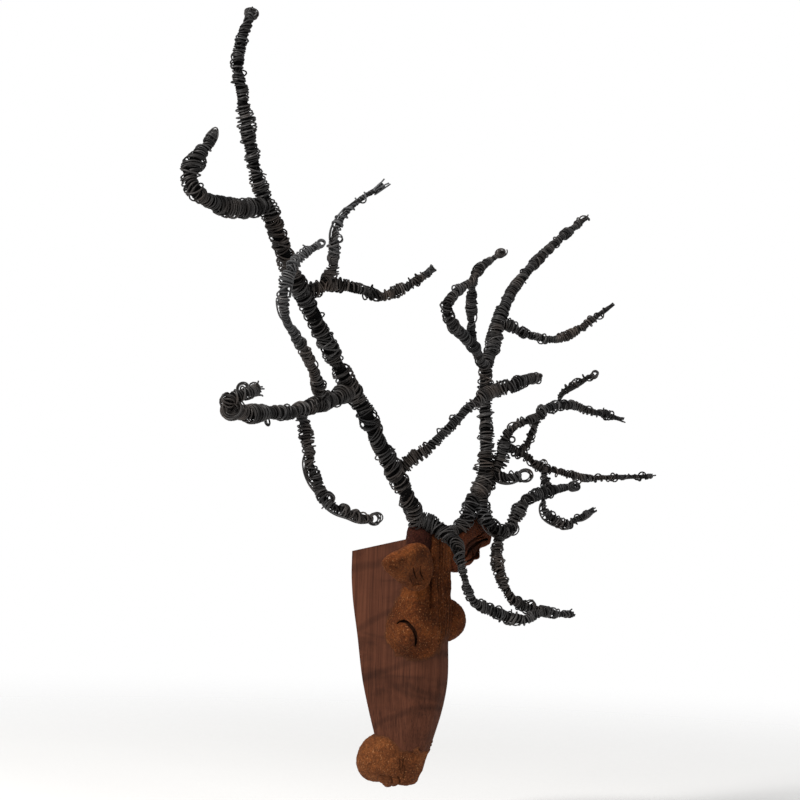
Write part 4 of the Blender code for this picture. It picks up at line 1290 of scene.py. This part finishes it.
def clay_material(name, dark, mid, light, grit_strength, painted_top_light):
    """Rough rust-brown clay with pale grit and dark pits.

    It has painted shade in its grooves, and is worn to the wood's colour where it is thin.
    """
    n = Nodes(name)
    colour = n.ramp(n.noise(42, 4, 0.65), [(0.30, dark), (0.52, mid), (0.75, light)])
    grain = n.noise(560, 5, 0.8)
    grain_shade = n.ramp(grain, [(0.30, 0.3), (0.5, 0.9), (0.72, 1.9)])
    colour = n.mix("MULTIPLY", 0.95, colour, grain_shade)
    grit = n.ramp(n.noise(850, 1.5, 0.5), [(0.63, 0.0), (0.71, grit_strength)])
    colour = n.mix("MIX", grit, colour, PALE_GRIT)
    pits = n.ramp(n.noise(640, 2, 0.6, n.stretched((1.3, 1, 1.1))), [(0.30, 0.75), (0.38, 0.0)])
    colour = n.mix("MIX", pits, colour, DARK_PIT)
    ragged = n.ramp(n.noise(330, 3, 0.7), [(0.3, 0.0), (0.7, 0.5)])
    thick = n.mix("ADD", 0.55, n.attribute("film"), ragged)
    colour = n.mix("MIX", n.ramp(thick, [(0.15, 0.9), (0.62, 0.0)]), colour, THIN_CLAY)
    # painted shade: darker the deeper a point lies in a groove or an ear's dish
    shade = n.ramp(n.attribute("groove"), [(0.15, 1.0), (0.95, 0.22)])
    colour = n.mix("MULTIPLY", 1.0, colour, shade)
    # painted light and shade: brighter where faces turn up, a little darker where they don't
    if painted_top_light > 1:
        upward = n.add("ShaderNodeSeparateXYZ")
        n.join(n.add("ShaderNodeNewGeometry").outputs["Normal"], upward.inputs[0])
        lift = n.ramp(upward.outputs["Z"], [(0.15, 0.86), (0.7, painted_top_light)])
        colour = n.mix("MULTIPLY", 1.0, colour, lift)
    normal = n.bump(n.noise(260, 4, 0.65), 0.55, 0.0018, n.bump(grain, 0.8, 0.0012))
    return n.finish(colour, 0.92, normal, 0.12)


def wood_material():
    """Dark stained hardwood: fine vertical pores, soft streaks and slanting bands of figure."""
    n = Nodes("stained_wood")
    streaks = n.noise(1.0, 6, 0.66, n.stretched((420, 420, 8)), 0.35)
    colour = n.ramp(streaks, [(0.28, (0.047, 0.0148, 0.0074)), (0.50, (0.073, 0.0236, 0.0118)),
                              (0.74, (0.101, 0.035, 0.018))])
    slanted = n.stretched((20, 20, 60), (math.radians(24), 0, 0))
    figure = n.ramp(n.noise(1.0, 3, 0.55, slanted, 0.8), [(0.30, 0.55), (0.50, 1.0), (0.72, 1.18)])
    colour = n.mix("MULTIPLY", 0.9, colour, figure)
    wave = n.add("ShaderNodeTexWave", wave_type="BANDS", bands_direction="Z")
    bands = n.feed(wave, {"Vector": n.stretched((1, 1, 1), (math.radians(19), 0, 0)), "Scale": 8.0,
                          "Distortion": 1.6, "Detail": 2.0, "Detail Scale": 2.5})["Fac"]
    colour = n.mix("MULTIPLY", 0.7, colour, n.ramp(bands, [(0.0, 0.62), (0.07, 1.0)]))
    pores = n.noise(1.0, 2, 0.5, n.stretched((1500, 1500, 32)))
    colour = n.mix("MULTIPLY", 0.8, colour, n.ramp(pores, [(0.32, 0.45), (0.45, 1.0)]))
    rough = n.ramp(streaks, [(0.3, 0.72), (0.7, 0.6)])
    return n.finish(colour, rough, n.bump(streaks, 0.2, 0.0006, n.bump(pores, 0.4, 0.0003)), 0.1)


def floor_material():
    """Matt and pale, and fading out with distance so that it has no far edge."""
    n = Nodes("pale_floor")
    tone = n.ramp(n.noise(3, 2, 0.5), [(0.3, 0.95), (0.7, 0.97)])
    n.finish(tone, 0.95, n.bump(n.noise(40, 2), 0.02, 0.001), 0.1)
    length = n.add("ShaderNodeVectorMath", operation="LENGTH")
    n.join(n.space, length.inputs[0])
    fade = n.feed(n.add("ShaderNodeMapRange", interpolation_type="SMOOTHSTEP"),
                  {"Value": length.outputs["Value"], "From Min": FADE_START,
                   "From Max": FADE_END})["Result"]
    clear = n.add("ShaderNodeBsdfTransparent").outputs["BSDF"]
    blend = n.feed(n.add("ShaderNodeMixShader"),
                   {"Fac": fade, 1: n.shader.outputs["BSDF"], 2: clear})["Shader"]
    n.join(blend, n.tree.nodes["Material Output"].inputs["Surface"])
    return n.material


# ---- stage ----------------------------------------------------------------------------------
def build_stage():
    mesh = bpy.data.meshes.new("floor")
    z = cad_low.z - FLOOR_GAP
    angles = [2 * math.pi * corner / FLOOR_CORNERS for corner in range(FLOOR_CORNERS)]
    rim = [(FLOOR_RADIUS * math.cos(a), FLOOR_RADIUS * math.sin(a), z) for a in angles]
    mesh.from_pydata(rim, [], [tuple(range(FLOOR_CORNERS))])
    mesh.materials.append(floor_material())
    floor = add_object("floor", mesh)


def light_scene():
    """Two soft lights, and a sky that is white to the camera but dimmer as a light."""
    for name, (right, near, up), size, power, colour in LIGHTS:
        data = bpy.data.lights.new(name, "AREA")
        data.shape = "DISK"
        data.size = size
        data.energy = power
        data.color = colour
        light = add_object(name, data)
        light.location = Vector(right * RIGHTWARD + near * TO_CAMERA + up * UP)
        turn = (light.location - Vector(LIGHT_AIM)).to_track_quat("Z", "Y")
        light.rotation_euler = turn.to_euler()
    world = bpy.data.worlds.new("studio")
    world.use_nodes = True
    tree = world.node_tree
    lighting = tree.nodes["Background"]
    seen = tree.nodes.new("ShaderNodeBackground")
    for background, strength in ((lighting, SKY_STRENGTH), (seen, 1.0)):
        background.inputs["Color"].default_value = (1, 1, 1, 1)
        background.inputs["Strength"].default_value = strength
    path = tree.nodes.new("ShaderNodeLightPath")
    choose = tree.nodes.new("ShaderNodeMixShader")
    tree.links.new(path.outputs["Is Camera Ray"], choose.inputs["Fac"])
    tree.links.new(lighting.outputs["Background"], choose.inputs[1])
    tree.links.new(seen.outputs["Background"], choose.inputs[2])
    tree.links.new(choose.outputs["Shader"], tree.nodes["World Output"].inputs["Surface"])
    bpy.context.scene.world = world


def place_camera():
    data = bpy.data.cameras.new("camera")
    data.lens = CAMERA_LENS
    data.sensor_width = CAMERA_SENSOR
    data.clip_start = 0.05
    data.clip_end = 60
    camera = add_object("camera", data)
    right = math.cos(CAMERA_ROLL) * RIGHTWARD + math.sin(CAMERA_ROLL) * UP
    upward = math.cos(CAMERA_ROLL) * UP - math.sin(CAMERA_ROLL) * RIGHTWARD
    place = CAMERA_ACROSS * RIGHTWARD + CAMERA_DISTANCE * TO_CAMERA + CAMERA_HEIGHT * UP
    turn = Matrix((right, upward, TO_CAMERA)).transposed()
    camera.matrix_world = Matrix.Translation(place) @ turn.to_4x4()
    bpy.context.scene.camera = camera


# ---- the whole scene ------------------------------------------------------------------------
place_camera()
build_stage()
light_scene()
bpy.context.scene.view_settings.view_transform = "Standard"
build_antlers(wire_material())
build_clay()
build_block(wood_material())
